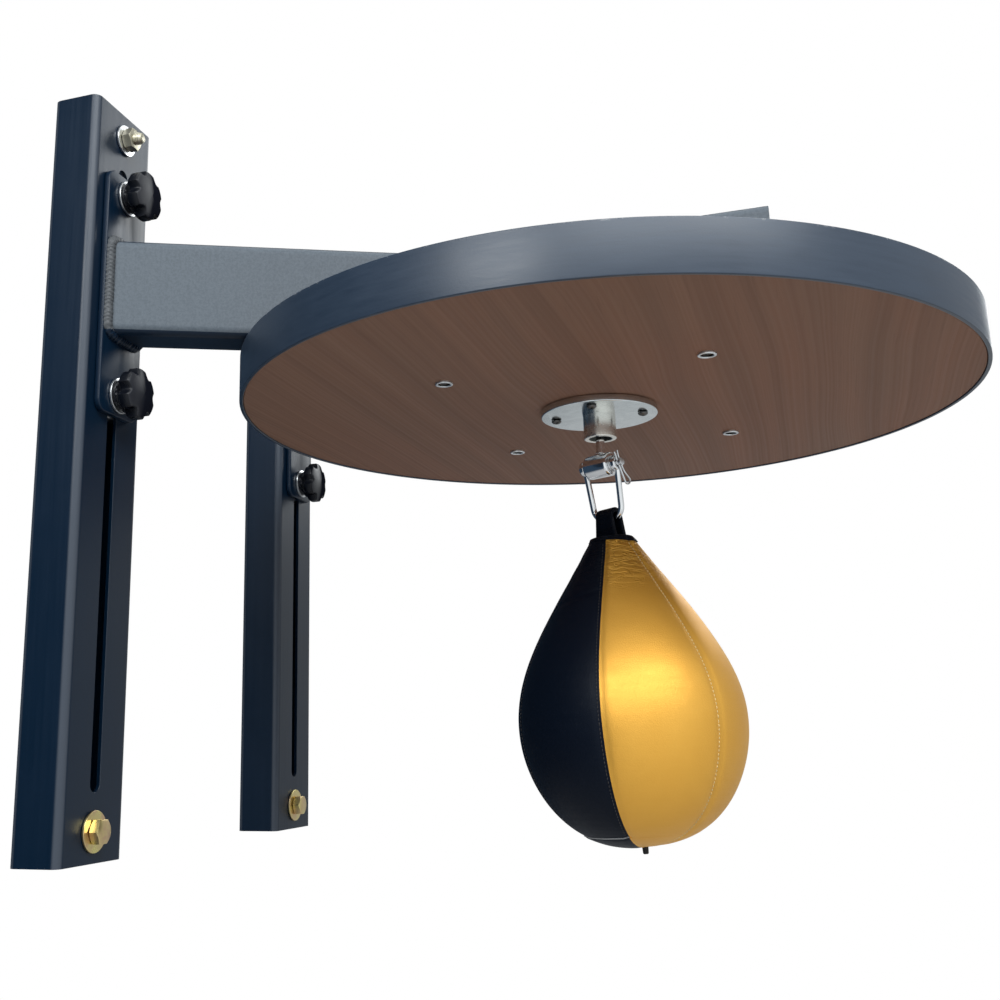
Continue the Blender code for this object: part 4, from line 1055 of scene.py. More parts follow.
@dataclass
class Carriage(SubAssembly):
    """Slide plates, clamp strips, arms with their welds, and crossbars."""

    plate_corner: float = 9 * MM
    plate_edge: float = 0.9 * MM
    knob_hole: float = 11 * MM
    strip_corner: float = 5 * MM
    tube_wall: float = 3 * MM
    arm_corner: float = 8 * MM
    arm_edge: float = 0.6 * MM
    arm_trim: float = 3 * MM
    arm_width: float = 42 * MM
    arm_bend_back: float = 120 * MM
    bead_radius: float = 4.6 * MM
    bead_pitch: float = 3.4 * MM
    bead_sides: int = 18
    bead_ripples: int = 8
    bead_foot: float = 2 * MM
    bar_corner: float = 4 * MM
    bar_edge: float = 1 * MM
    bolt_hole: float = 9 * MM

    def build(self) -> None:
        """Builds the carriage on both sides."""
        for side in Side:
            self.slide_plate(side)
            self.arm(side)
        for end in ("rear", "front"):
            self.crossbar(end)

    def slide_plate(self, side: Side) -> None:
        """The plate in front of an upright, the strip inside it and the knobs' washers."""
        label = side.label
        washers = {level: Span.of(f"knob_washer_{level.value}_{label}") for level in Level}
        for node, finish, corner, name in (
                (f"slide_plate_{label}", "paint", self.plate_corner, f"carriage_plate_{label}"),
                (f"clamp_strip_{label}", "zinc", self.strip_corner, f"tapped_strip_{label}")):
            span = Span.of(node)
            holes = [circle(self.knob_hole, (0, washer.centre.z - span.centre.z))
                     for washer in washers.values()]
            loops = [rounded_rectangle(span.size.x, span.size.z, corner), *holes]
            self.sheet(name, node, loops, self.plate_edge, finish, "carriage")
        for level, span in washers.items():
            loops = [circle(span.size.x, steps=64), circle(self.knob_hole)]
            self.sheet(f"plain_washer_{level.value}_{label}", f"knob_washer_{level.value}_{label}",
                       loops, WASHER_EDGE, "zinc", "carriage")

    def stations(self, side: Side) -> list[tuple[Vector, Vector]]:
        """The arm's cut planes: their centres and the vector along the tube's width in each."""
        arm, board = Span.of(f"arm_{side.label}"), Span.of("board")
        lane = (arm.low.x if side is Side.RIGHT else -arm.high.x) + self.arm_width / 2
        bend = Vector((lane, board.centre.y + self.arm_bend_back, arm.centre.z))
        front = Vector((lane, arm.low.y, arm.centre.z))
        outside = arm.high.x if side is Side.RIGHT else -arm.low.x
        toe = 0.0
        root = bend.copy()
        for _ in range(20):
            root = Vector((outside - self.arm_width / 2 / math.cos(toe), arm.high.y, arm.centre.z))
            toe = math.atan2(root.x - bend.x, root.y - bend.y)
        mitre = Vector((math.cos(toe / 2), -math.sin(toe / 2), 0)) / math.cos(toe / 2)
        flip = Vector((side.value, 1, 1))
        cuts = [(root, Vector((1 / math.cos(toe), 0, 0))), (bend, mitre),
                (front, Vector((1, 0, 0)))]
        return [(centre * flip, across * flip) for centre, across in cuts]

    @staticmethod
    def section(cut: tuple[Vector, Vector], loop: Loop) -> list[Vector]:
        """A loop's points on a cut plane of the arm."""
        centre, across = cut
        return [centre + across * u + Vector((0, 0, v)) for u, v in loop]

    def arm(self, side: Side) -> None:
        """A bent tube with an open front end, welded to its plate."""
        span = Span.of(f"arm_{side.label}")
        inner = 2 * self.tube_wall
        height = span.size.z - self.arm_trim
        outside = rounded_rectangle(self.arm_width, height, self.arm_corner)
        inside = rounded_rectangle(self.arm_width - inner, height - inner,
                                   self.arm_corner - self.tube_wall)
        drop = Vector((0, 0, self.arm_trim / 2))
        cuts = [(centre - drop, across) for centre, across in self.stations(side)]
        rows = [self.section(cut, outside) for cut in cuts]
        rows += [self.section(cut, inside) for cut in reversed(cuts)]
        piece = self.dress(f"arm_tube_{side.label}", Shell().rings(rows, True).mesh("arm", 30),
                           ("arm", "paint"), "carriage", f"arm_{side.label}")
        # The sides take the paler copy of the paint, painted light; the top and bottom faces keep
        # the plain dark paint.
        self.mark(piece, lambda face: face.normal.z > 0.7 or face.normal.z < -0.5)
        self.soften(piece, self.arm_edge)
        self.weld(f"arm_weld_{side.label}", rows[0])

    def weld(self, name: str, corners: Sequence[Vector]) -> None:
        """A rippled bead round a closed line on the plate."""
        path = resampled(corners, self.bead_pitch / self.bead_ripples)
        along = np.arange(len(path))[:, None] / self.bead_ripples
        turn = np.linspace(0, 2 * math.pi, self.bead_sides, endpoint=False)[None, :]
        drift = np.array([noise.noise(Vector(p) * 90) for p in path])[:, None]
        swept = along + 0.55 * np.abs(np.cos(2 * turn)) + 0.8 * drift
        ripple = 0.80 + 0.2 * np.abs(np.sin(np.pi * swept)) ** 0.6
        lumps = np.array([[noise.noise(Vector(p) * 260 + Vector((0, 0, 3 * k)))
                           for k in np.cos(turn[0])] for p in path])
        bead = Shell().tube(path, self.bead_radius * (ripple + 0.1 * drift + 0.09 * lumps),
                            (0, 1, 0), self.bead_sides, True)
        piece = self.dress(name, bead.mesh("weld", 60), ("weld", "paint"), "carriage")
        # Faces below the bead's foot take the dark paint instead of the paler weld finish: painted
        # shade under the bead.
        foot = min(point[2] for point in path) + self.bead_foot
        self.mark(piece, lambda face: face.center.z < foot)

    def crossbar(self, end: str) -> None:
        """A flat bar under both arms."""
        node = f"crossbar_{end}"
        size = Span.of(node).size
        holes = [circle(self.bolt_hole, (Span.of(f"board_bolt_{n}").centre.x, 0)) for n in (1, 2)]
        loops = [rounded_rectangle(size.x, size.y, self.bar_corner), *holes]
        self.sheet(f"flat_bar_{end}", node, loops, self.bar_edge, "paint", "carriage", Matrix())


@dataclass
class Knobs(SubAssembly):
    """The four star knobs."""

    lobes: int = 6
    scallop: float = 4.4 * MM
    hub_diameter: float = 25 * MM
    hub_length: float = 9 * MM
    head_length: float = 12 * MM
    dome: float = 3.2 * MM
    stud_diameter: float = 10 * MM
    stud_pitch: float = 1.5 * MM
    steps: int = 144

    def build(self) -> None:
        """Builds a knob on each seat."""
        for side in Side:
            for level in Level:
                self.knob(side, level)

    def knob(self, side: Side, level: Level) -> None:
        """A scalloped head on a stepped hub, with its stud."""
        node = f"knob_{level.value}_{side.label}"
        span = Span.of(node)
        radius = span.size.z / 2
        head_end = self.hub_length + self.head_length
        base = span.low.y + head_end
        turn = np.linspace(0, 2 * math.pi, self.steps, endpoint=False)
        star = radius - self.scallop * np.maximum(0, np.cos(self.lobes * turn)) ** 0.8
        hub = np.full(self.steps, self.hub_diameter / 2)
        crown = head_end - self.dome * (star / radius) ** 2
        sections = [
            (0, hub * 0.2), (0, hub * 0.98), (0.3 * MM, hub), (3 * MM, hub), (3.4 * MM, star * 0.7),
            (self.hub_length - 2.4 * MM, star * 0.78), (self.hub_length - 0.6 * MM, star * 0.94),
            (self.hub_length + 0.4 * MM, star * 0.985), (self.hub_length + 1.4 * MM, star),
            (crown - 1.5 * MM, star), (crown - 0.7 * MM, star * 0.985), (crown, star * 0.95)]
        sections += [(head_end - self.dome * (share * star / radius) ** 2, share * star)
                     for share in (0.9, 0.75, 0.55, 0.35, 0.15, 0.01)]
        rows = [np.stack([size * np.cos(turn), size * np.sin(turn),
                          np.broadcast_to(height, self.steps)], 1) for height, size in sections]
        grip = Shell().rings(rows).mesh("grip", 50)
        rod = Shell().lathe(threaded(self.stud_diameter / 2, base - span.high.y, 1 * MM,
                                     self.stud_pitch), steps=32).mesh("stud", 80)
        seat = Matrix.Translation((span.centre.x, base, span.centre.z)) @ FACING_OUT
        body = f"{level.value}_{side.label}_knob"
        grip_piece = self.dress(f"star_grip_{level.value}_{side.label}", moved(grip, seat),
                                ("plastic", "cap"), body, node)
        # The end faces take the paler, glossier cap finish: painted highlight, with painted shade
        # on what faces right.
        self.mark(grip_piece, lambda face: face.normal.y < -0.8)
        rod_piece = self.dress(f"knob_stud_{level.value}_{side.label}", moved(rod, seat), "zinc",
                               body)
        rod_piece.parent = grip_piece


@dataclass
class Board(SubAssembly):
    """The round board, its rim and the bolts that hold it to the crossbars."""

    rim_thickness: float = 3 * MM
    rim_edge: float = 0.7 * MM
    steps: int = 256
    head_diameter: float = 14 * MM
    head_height: float = 3 * MM
    head_shown: float = 1.6 * MM
    socket: float = 9.6 * MM
    socket_depth: float = 2.2 * MM
    rod_diameter: float = 8 * MM
    rod_pitch: float = 1.25 * MM
    nut_flats: float = 13 * MM

    def build(self) -> None:
        """Builds the board from the middle out."""
        self.disc()
        self.rim()
        for number in range(1, 5):
            self.bolt(number)

    def disc(self) -> None:
        """The veneered disc."""
        span = Span.of("board")
        radius, half = span.size.x / 2, span.size.z / 2
        profile = eased([(0, half), (radius, half), (radius, -half), (0, -half)], 1 * MM)
        mesh = Shell().lathe(profile, Matrix.Translation(span.centre), self.steps).mesh("board")
        self.dress("veneered_board", mesh, "veneer", "carriage", "board")

    def rim(self) -> None:
        """The steel band, with rounded edges."""
        span = Span.of("rim_band")
        outside, half = span.size.x / 2, span.size.z / 2
        inside = outside - self.rim_thickness
        profile = eased([(inside, half), (outside, half), (outside, -half), (inside, -half)],
                        self.rim_edge, True)
        band = Shell().lathe(profile, Matrix.Translation(span.centre), self.steps, True)
        self.dress("steel_rim", band.mesh("rim"), "rim", "carriage", "rim_band")

    def bolt(self, number: int) -> None:
        """A low-headed bolt and, above the crossbar, its nut."""
        bolt, nut = Span.of(f"board_bolt_{number}"), Span.of(f"board_nut_{number}")
        place = bolt.axis
        head, socket = self.head_diameter / 2, self.socket / 2
        seat = bolt.low.z + self.head_height
        low = seat - self.head_shown
        bottom, top = low + self.socket_depth, seat + 1 * MM
        profile = eased([(0, bottom), (socket, bottom), (socket, low), (head, low), (head, top),
                         (0, top)], 0.7 * MM)
        cap = Shell().lathe(profile, place).mesh("head")
        thread = threaded(self.rod_diameter / 2, seat, bolt.high.z, self.rod_pitch)
        rod = Shell().lathe(thread, place, 32).mesh("rod", 80)
        piece = self.dress(f"socket_bolt_{number}", merged("board_bolt", [cap, rod]),
                           ("zinc", "bore"), "carriage", f"board_bolt_{number}")
        # The socket's inside takes the near-black bore finish: painted shade in the recess.
        self.mark(piece, lambda face: (face.center - bolt.centre).xy.length < socket
                  and low + 0.4 * MM < face.center.z < seat + 0.7 * MM)
        body = hexagon_body("board_nut", self.nut_flats, nut.size.z)
        body.transform(Matrix.Translation((nut.centre.x, nut.centre.y, nut.low.z)))
        self.dress(f"lock_nut_{number}", body, "zinc", "carriage", f"board_nut_{number}")


@dataclass(frozen=True)
class Hang:
    """How far the hanging chain is turned at its ball, its pin and its bow, in degrees."""

    heading: tuple[float, float] = (0.3173, -0.9483)
    stud_lean: float = -1.5
    shackle_swing: float = 11
    bag_lean: float = 3.1

    @staticmethod
    def about(point: Vector, degrees: float, axis: Vector) -> Matrix:
        """A turn about an axis through a point."""
        return Matrix.Translation(point) @ turned(degrees, axis) @ Matrix.Translation(-point)

    def lean(self, point: Vector, degrees: float) -> Matrix:
        """A lean toward the heading about a point."""
        return self.about(point, -degrees, Vector((-self.heading[1], self.heading[0], 0)))

    def stud(self) -> Matrix:
        """The turn of the ball stud and the cross barrel."""
        stud = Span.of("ball_stud")
        ball = Vector((*stud.centre.xy, stud.high.z - BALL_DIAMETER / 2))
        return self.lean(ball, self.stud_lean)

    def shackle(self) -> Matrix:
        """The turn of the shackle and its pin."""
        turn = math.radians(PIN_HEADING)
        pin = Vector((math.cos(turn), math.sin(turn), 0))
        return self.stud() @ self.about(Span.of("cross_barrel").centre, self.shackle_swing, pin)

    def bag(self) -> Matrix:
        """The turn of the bag, which hangs on the shackle's bow."""
        bow = Span.of("cross_barrel").centre - Vector((0, 0, BOW_DROP))
        carried = self.shackle() @ bow
        return self.lean(carried, self.bag_lean) @ Matrix.Translation(carried - bow)


@dataclass
class Swivel(SubAssembly):
    """Flange, screws, barrel, ball stud and cross barrel."""

    flange_drop: float = 2 * MM
    spigot_hole: float = 24 * MM
    screw_hole: float = 5.5 * MM
    screw_head: float = 8.5 * MM
    bore: float = 18 * MM
    throat: float = 13.6 * MM
    mouth: float = 19.6 * MM
    flare: float = 3.2 * MM
    lip: float = 1 * MM
    stud_diameter: float = 7.2 * MM
    seat_hole: float = 11.6 * MM
    seat_play: float = 0.3 * MM
    cross_length: float = 25 * MM
    cross_diameter: float = 20 * MM
    cross_bore: float = 8.4 * MM

    def build(self) -> None:
        """Builds the swivel from the board down."""
        hang = Hang().stud()
        flange, barrel = Span.of("swivel_flange"), Span.of("swivel_barrel")
        centre = flange.centre
        screws = [Span.of(f"flange_screw_{n}") for n in range(1, 5)]
        holes = [circle(self.screw_hole, tuple((s.centre - centre).xy), 24) for s in screws]
        disc = plate("flange", [circle(flange.size.x, steps=128), circle(self.spigot_hole), *holes],
                     flange.size.z + self.flange_drop, 0.8 * MM)
        disc.transform(Matrix.Translation(centre - Vector((0, 0, self.flange_drop / 2))))
        self.dress("swivel_plate", disc, "flange", "carriage", "swivel_flange")
        for number, screw in enumerate(screws, 1):
            self.screw(number, screw)
        axis = flange.axis
        outside, low, high = barrel.size.x / 2, barrel.low.z, flange.low.z
        profile = eased([(self.bore / 2, high), (outside, high), (outside, low),
                         (self.mouth / 2, low), (self.throat / 2, low + self.flare),
                         (self.throat / 2, low + self.flare + self.lip),
                         (self.bore / 2, low + self.flare + self.lip)], 0.8 * MM, True)
        shell = Shell().lathe(profile, axis, 72, True).mesh("barrel")
        socket = self.dress("swivel_socket", shell, ("satin", "bore"), "carriage", "swivel_barrel")
        # The barrel's mouth and bore take the near-black bore finish: painted shade inside.
        self.mark(socket, lambda face: (face.center - centre).xy.length < self.mouth / 2
                  and face.center.z > low + 0.3 * MM)
        self.ball(axis, hang)
        self.cross_barrel(hang)

    def screw(self, number: int, span: Span) -> None:
        """A pan-head screw with a cross recess."""
        head = self.screw_head / 2
        low = span.low.z - self.flange_drop
        seat = low + 2.6 * MM
        profile = eased([(0, low), (head * 0.55, low), (head * 0.95, low + 1.3 * MM), (head, seat),
                         (2.2 * MM, seat), (2.2 * MM, span.high.z - 4 * MM), (0, span.high.z)],
                        0.9 * MM)
        body = Shell().lathe(profile, span.axis, 40).mesh("screw")
        for turn in (20, 110):
            wing = plate("recess", [rounded_rectangle(4.6 * MM, 1 * MM, 0.2 * MM, 2)], 3 * MM, 0)
            place = Matrix.Translation((*span.centre.xy, low)) @ turned(turn, "Z")
            body = carved(body, moved(wing, place), Carve.CUT)
        self.dress(f"pan_screw_{number}", body, "screw", "carriage", f"flange_screw_{number}")

    def ball(self, axis: Matrix, hang: Matrix) -> None:
        """The nylon seat and the ball stud in it."""
        seat, stud = Span.of("ball_seat"), Span.of("ball_stud")
        radius, shank = BALL_DIAMETER / 2, self.stud_diameter / 2
        middle, hollow = stud.high.z - radius, radius + self.seat_play
        cup = arc((0, middle), hollow, -math.degrees(math.acos(self.seat_hole / 2 / hollow)), -7.5,
                  10)
        outside = seat.size.x / 2
        ring = Shell().lathe([(outside, seat.high.z), (outside, seat.low.z),
                              (self.seat_hole / 2, seat.low.z), *cup], axis, 64, True)
        self.dress("nylon_seat", ring.mesh("seat"), "nylon", "seat_ring", "ball_seat")
        neck = math.degrees(math.acos(shank / radius))
        ball = arc((0, middle), radius, 90, -neck, 24)
        pin = Shell().lathe([*ball, (shank, stud.low.z), (0, stud.low.z)], axis, 64)
        self.dress("ball_pin", moved(pin.mesh("stud"), hang), "chrome", "stud", "ball_stud")

    def cross_barrel(self, hang: Matrix) -> None:
        """The turned barrel that the clevis pin runs through."""
        span = Span.of("cross_barrel")
        half, radius, bore = self.cross_length / 2, self.cross_diameter / 2, self.cross_bore / 2
        lie = Matrix.Translation(span.centre) @ ALONG_PIN @ ON_ITS_SIDE
        profile = eased([(bore, half), (radius - 1 * MM, half), (radius, half - 1.6 * MM),
                         (radius, 1.6 * MM - half), (radius - 1 * MM, -half), (bore, -half)],
                        0.7 * MM, True)
        body = Shell().lathe(profile, lie, 72, True).mesh("cross_barrel")
        top, wide, narrow = span.high.z, 5.2 * MM, 3.4 * MM
        base, crest = top - 2 * MM, top + 0.9 * MM
        profile = eased([(0, base), (wide, base), (wide, top - 0.2 * MM), (narrow, crest),
                         (0, crest)], 0.5 * MM)
        whole = merged("cross_barrel", [body, Shell().lathe(profile, span.axis).mesh("collar")])
        self.dress("turned_barrel", moved(whole, hang), "chrome", "stud", "cross_barrel")


@dataclass
class ShackleAndPin(SubAssembly):
    """The bag's shackle, its clevis pin, washers and hairpin clip."""

    wire: float = 5 * MM
    eye_diameter: float = 13 * MM
    eye_width: float = 4.6 * MM
    eye_edge: float = 1.1 * MM
    eye_offset: float = 16.8 * MM
    bow_spread: float = 30 * MM
    bow_corner: float = 11 * MM
    pin_diameter: float = 6 * MM
    pin_head: float = 7.8 * MM
    pin_play: float = 0.3 * MM
    washer_diameter: float = 13 * MM
    washer_thickness: float = 1.5 * MM
    washer_edge: float = 0.3 * MM
    washer_place: float = 1.05 * MM
    clip_wire: float = 1.6 * MM
    clip_lean: float = 18
    clip_aside: float = -1.6 * MM
    clip_above: float = 9 * MM
    clip_below: float = 17 * MM
    clip_eye: float = 6.5 * MM
    body: str = "shackle_and_pin"

    def build(self) -> None:
        """Builds the shackle about the pin's axis."""
        centre = Span.of("cross_barrel").centre
        self.frame = Hang().shackle() @ Matrix.Translation(centre) @ ALONG_PIN
        self.shackle()
        self.washers()
        self.pin()
        self.clip()

    def shackle(self) -> None:
        """A bent rod with a flattened eye at each end."""
        spread, low = self.bow_spread / 2, -BOW_DROP
        corner = arc((spread - self.bow_corner, low + self.bow_corner), self.bow_corner, -90, 0, 10)
        top = (self.eye_offset, -self.eye_diameter / 2 + 1.2 * MM)
        right = [(0, low), *corner, *[tuple(np.array(corner[-1]) * (1 - t) + np.array(top) * t)
                                      for t in np.linspace(0.1, 1, 8)]]
        line = [(-x, z) for x, z in reversed(right[1:])] + right
        path = np.array([(x, 0, z) for x, z in line])
        shell = Shell().tube(path, self.wire / 2, (0, 1, 0), 20)
        hole = self.pin_diameter / 2 + self.pin_play
        outside, half = self.eye_diameter / 2, self.eye_width / 2
        eye = eased([(hole, half), (outside, half), (outside, -half), (hole, -half)],
                    self.eye_edge, True)
        for sign in (-1, 1):
            place = Matrix.Translation((sign * self.eye_offset, 0, 0)) @ ON_ITS_SIDE
            shell.lathe(eye, place, 48, True)
        self.dress("bent_shackle", moved(shell.mesh("shackle", 50), self.frame), "chrome",
                   self.body, "shackle")

    def washers(self) -> None:
        """The pin's two washers."""
        for node in ("pin_washer_near", "pin_washer_far"):
            side = self.eye_offset - self.eye_width / 2 - self.washer_place
            aside = Span.of(node).centre - Span.of("cross_barrel").centre
            if aside.dot(self.frame.col[0].xyz) < 0:
                side = -side
            hole = circle(self.pin_diameter + 2 * self.pin_play)
            loops = [circle(self.washer_diameter), hole]
            ring = plate(node, loops, self.washer_thickness, self.washer_edge)
            place = self.frame @ Matrix.Translation((side, 0, 0)) @ ON_ITS_SIDE
            self.dress(node + "_ring", moved(ring, place), "zinc", self.body, node)

    def pin(self) -> None:
        """The headed clevis pin."""
        reach = self.eye_offset + self.eye_width / 2 + self.pin_play
        radius, head, tail = self.pin_diameter / 2, self.pin_head / 2, reach + 4 * MM
        profile = eased([(0, tail), (radius, tail), (radius, -reach), (head, -reach),
                         (head, -reach - 1.4 * MM), (0, -reach - 1.4 * MM)], 0.6 * MM)
        mesh = Shell().lathe(profile, self.frame @ ON_ITS_SIDE, 48).mesh("pin")
        self.dress("headed_pin", mesh, "zinc", self.body, "clevis_pin")

    def clip(self) -> None:
        """The hairpin clip through the pin's tail."""
        grip = self.pin_diameter / 2 + self.clip_wire / 2 + self.pin_play
        radius, low = self.clip_eye / 2, -self.clip_below
        eye = arc((radius, low), radius, 180, 360, 20)
        leg = [(0, self.clip_above), (0, low / 2), *eye]
        waist = [(radius * 1.1, low * 0.62), (grip * 0.72, low * 0.42)]
        hug = arc((0, 0), grip, -48, 48, 14)
        flare = [(grip * 0.8, self.clip_above * 0.66), (grip, self.clip_above)]
        line = eased([*leg, *waist, *hug, *flare], 1.2 * MM, steps=3)
        reach = self.eye_offset + self.eye_width / 2 + 1 * MM
        place = (self.frame @ Matrix.Translation((reach, self.clip_aside, 0))
                 @ turned(self.clip_lean, "X"))
        path = np.array([(0, y, z) for y, z in line])
        mesh = Shell().tube(path, self.clip_wire / 2, (1, 0, 0), 14).mesh("clip")
        self.dress("hairpin", moved(mesh, place), "zinc", self.body, "hairpin_clip")


@dataclass
class Bag(SubAssembly):
    """The leather bag: six panels, stitching, collar, loop, foot patch and valve."""

    NECK = 0.58
    GOLD_FROM, GOLD_TO = 60, 240

    top_diameter: float = 35.5 * MM
    slack: float = 1.5 * MM
    neck_height: float = 146 * MM
    belly_depth: float = 94.5 * MM
    fullness: float = 0.865
    shoulder: float = 0.785
    panels: int = 6
    panel_columns: int = 24
    rows: int = 180
    first_seam: float = 114.4
    seam_depth: float = 1.3 * MM
    seam_width: float = 2.6 * MM
    panel_crown: float = 0.2 * MM
    pucker: float = 0.9 * MM
    pucker_reach: float = 0.22
    unevenness: float = 0.7 * MM
    crease_depth: float = 0.7 * MM
    crease_start: float = 0.175
    crease_slope: float = 0.00062
    crease_width: float = 0.006
    stitch_pitch: float = 3.0 * MM
    stitch_length: float = 2.2 * MM
    stitch_radius: float = 0.38 * MM
    stitch_inset: float = 2.0 * MM
    stitch_from: float = 0.02
    stitch_to: float = 0.93
    bow_wire: float = 5 * MM
    loop_width: float = 20 * MM
    strap: float = 3.6 * MM
    loop_hole: float = 7.6 * MM
    loop_lift: float = 1.6 * MM
    collar_front: float = 262
    collar_lap: float = 288
    collar_depth: float = 3.4 * MM
    collar_side: float = 1.2 * MM
    collar_lift: float = 0.6 * MM
    lap_lift: float = 0.7 * MM
    patch_reach: float = 0.875
    valve_length: float = 6 * MM
    body: str = "bag"

    def build(self) -> None:
        """Builds the bag from the cover out."""
        cover = Span.of("bag_cover")
        self.axis = Vector((cover.centre.x, cover.centre.y, 0))
        self.radius = cover.size.x / 2 - self.slack
        self.top, self.waist = cover.high.z, cover.high.z - self.neck_height
        bow = Span.of("shackle")
        self.bow = Vector((cover.centre.x, cover.centre.y, bow.low.z + self.bow_wire / 2))
        self.hang = Hang().bag()
        self.cover()
        self.stitching()
        self.collar()
        self.loop()
        self.foot()

    def profile(self, t: float) -> tuple[float, float]:
        """The cover's radius and height, from its top at 0 to its foot at 1."""
        if t < self.NECK:
            rise = 1 - t / self.NECK
            swell = (self.shoulder * math.cos(math.pi * rise / 2)
                     + (1 - self.shoulder) * (1 + math.cos(math.pi * rise)) / 2)
            small = self.top_diameter / 2
            return small + (self.radius - small) * swell, self.waist + rise * self.neck_height
        angle = (t - self.NECK) / (1 - self.NECK) * math.pi / 2
        full = max(0.0, math.cos(angle)) ** self.fullness
        return self.radius * full, self.waist - self.belly_depth * math.sin(angle)

    def surface(self, t: float, angle: float, lift: float = 0.0) -> Vector:
        """A point of the cover.

        Args:
            t: how far down the cover, from 0 to 1.
            angle: the heading in degrees.
            lift: how far out from the leather's face.

        Returns:
            The point.
        """
        radius, height = self.profile(t)
        step = 360 / self.panels
        from_seam = abs((angle - self.first_seam + step / 2) % step - step / 2)
        reach = math.radians(from_seam) * radius
        groove = self.seam_depth * math.exp(-(reach / self.seam_width) ** 2) * min(1, radius / 0.03)
        crown = (self.panel_crown * math.sin(math.pi * from_seam / step)
                 * math.sin(math.pi * min(1, t)) ** 0.5)
        heading = math.radians(angle)
        flat = Vector((math.cos(heading), math.sin(heading), 0))
        point = self.axis + flat * radius + Vector((0, 0, height))
        fold = noise.noise(Vector((flat.x * 5, flat.y * 5, height * 70)))
        pucker = self.pucker * max(0.0, 1 - t / self.pucker_reach) * fold
        soft = self.unevenness * noise.noise(point * 16)
        back = self.first_seam + step - angle
        crease = t - self.crease_start - self.crease_slope * back
        if 0 < back < 2 * step:
            groove += self.crease_depth * math.exp(-(crease / self.crease_width) ** 2)
        slope = Vector((flat.x, flat.y, 0.25 if t < 0.5 else -0.25 - 2 * (t - 0.5))).normalized()
        if t >= 0.999:
            slope, crown, pucker = Vector((0, 0, -1)), 0.0, 0.0
        return point + slope * (crown + soft + pucker - groove + lift)

    def cover(self) -> None:
        """The closed cover, gold on one half and black on the other."""
        columns = self.panels * self.panel_columns
        rows = [[self.surface(t, self.first_seam + 360 * i / columns) for i in range(columns)]
                for t in np.linspace(0, 1, self.rows)]
        cap = Vector((self.axis.x, self.axis.y, self.top))
        mesh = Shell().rings([[cap] * columns, *rows]).mesh("bag_cover", 80)
        piece = self.dress("leather_cover", moved(mesh, self.hang), ("gold", "black"), self.body,
                           "bag_cover", "bladder")
        self.mark(piece, lambda face: not self.is_gold(face.center))

    def is_gold(self, point: Vector) -> bool:
        """Whether a point lies on the gold half."""
        side = self.hang.inverted() @ Vector(point) - self.axis
        return self.gold_turn(math.degrees(math.atan2(side.y, side.x)) - self.first_seam)

    @classmethod
    def gold_turn(cls, turn: float) -> bool:
        """Whether a heading in degrees from the first seam lies on the gold half."""
        return cls.GOLD_FROM <= turn % 360 < cls.GOLD_TO

    def stitching(self) -> None:
        """A row of stitches along every seam, on its black side where it has one."""
        for name, finish, gold in (("gold_stitches", "gold_thread", True),
                                   ("black_stitches", "black_thread", False)):
            shell = Shell()
            for seam in range(self.panels):
                turn = 360 / self.panels * seam
                before, after = (self.gold_turn(turn + nudge) for nudge in (-1, 1))
                if (before and after) is gold:
                    side = 1 if before and not after else -1
                    self.stitch_row(shell, self.first_seam + turn, side)
            self.dress(name, moved(shell.mesh(name, 80), self.hang), finish, self.body)

    def stitch_row(self, shell: Shell, seam: float, sign: int) -> None:
        """One row along one side of a seam."""
        t, nudge = self.stitch_from, 0.002
        while t < self.stitch_to:
            radius, _ = self.profile(t)
            beside = seam + sign * math.degrees(self.stitch_inset / radius)
            here = self.surface(t, beside)
            ahead = self.surface(t + nudge, beside)
            per_length = nudge / (ahead - here).length
            end = t + self.stitch_length * per_length
            lifts = (-0.3, 0.15, 0.25, 0.15, -0.3)
            path = [self.surface(t + (end - t) * k / 4, beside, lift * MM)
                    for k, lift in enumerate(lifts)]
            out = Vector((here.x - self.axis.x, here.y - self.axis.y, 0)).normalized()
            radii = self.stitch_radius * np.array((0.6, 1, 1.05, 1, 0.6))
            shell.tube(np.array(path), radii, out, 6)
            t += self.stitch_pitch * per_length

    def collar(self) -> None:
        """The leather band round the neck, deeper in front and lapped at one side."""
        span = Span.of("bag_collar")
        turn = np.linspace(0, 360, 120, endpoint=False)
        ends, lap = [], []
        for angle in turn:
            front = max(0.0, math.cos(math.radians(angle - self.collar_front)))
            depth = self.collar_side + (self.collar_depth - self.collar_side) * front
            ends.append(self.NECK * depth / self.neck_height)
            aside = max(0.0, math.cos(math.radians(angle - self.collar_lap)))
            lap.append(self.collar_lift + self.lap_lift * aside ** 2)
        rim = self.top_diameter / 2
        rows = [[self.axis + Vector((0, 0, span.high.z))] * len(turn)]
        for radius, height in ((rim - 1.5 * MM, span.high.z),
                               (rim - 0.2 * MM, span.high.z - 0.5 * MM)):
            rows.append([self.axis + Vector((radius * math.cos(a), radius * math.sin(a), height))
                         for a in np.radians(turn)])
        for share, lift in ((0.12, 0.9), (0.5, 1.0), (0.9, 1.0), (1.0, 0.7), (1.0, -0.4)):
            rows.append([self.surface(end * share, a, lift * out)
                         for a, end, out in zip(turn, ends, lap)])
        mesh = Shell().rings(rows).mesh("collar", 50)
        self.dress("neck_collar", moved(mesh, self.hang), "black", self.body, "bag_collar")

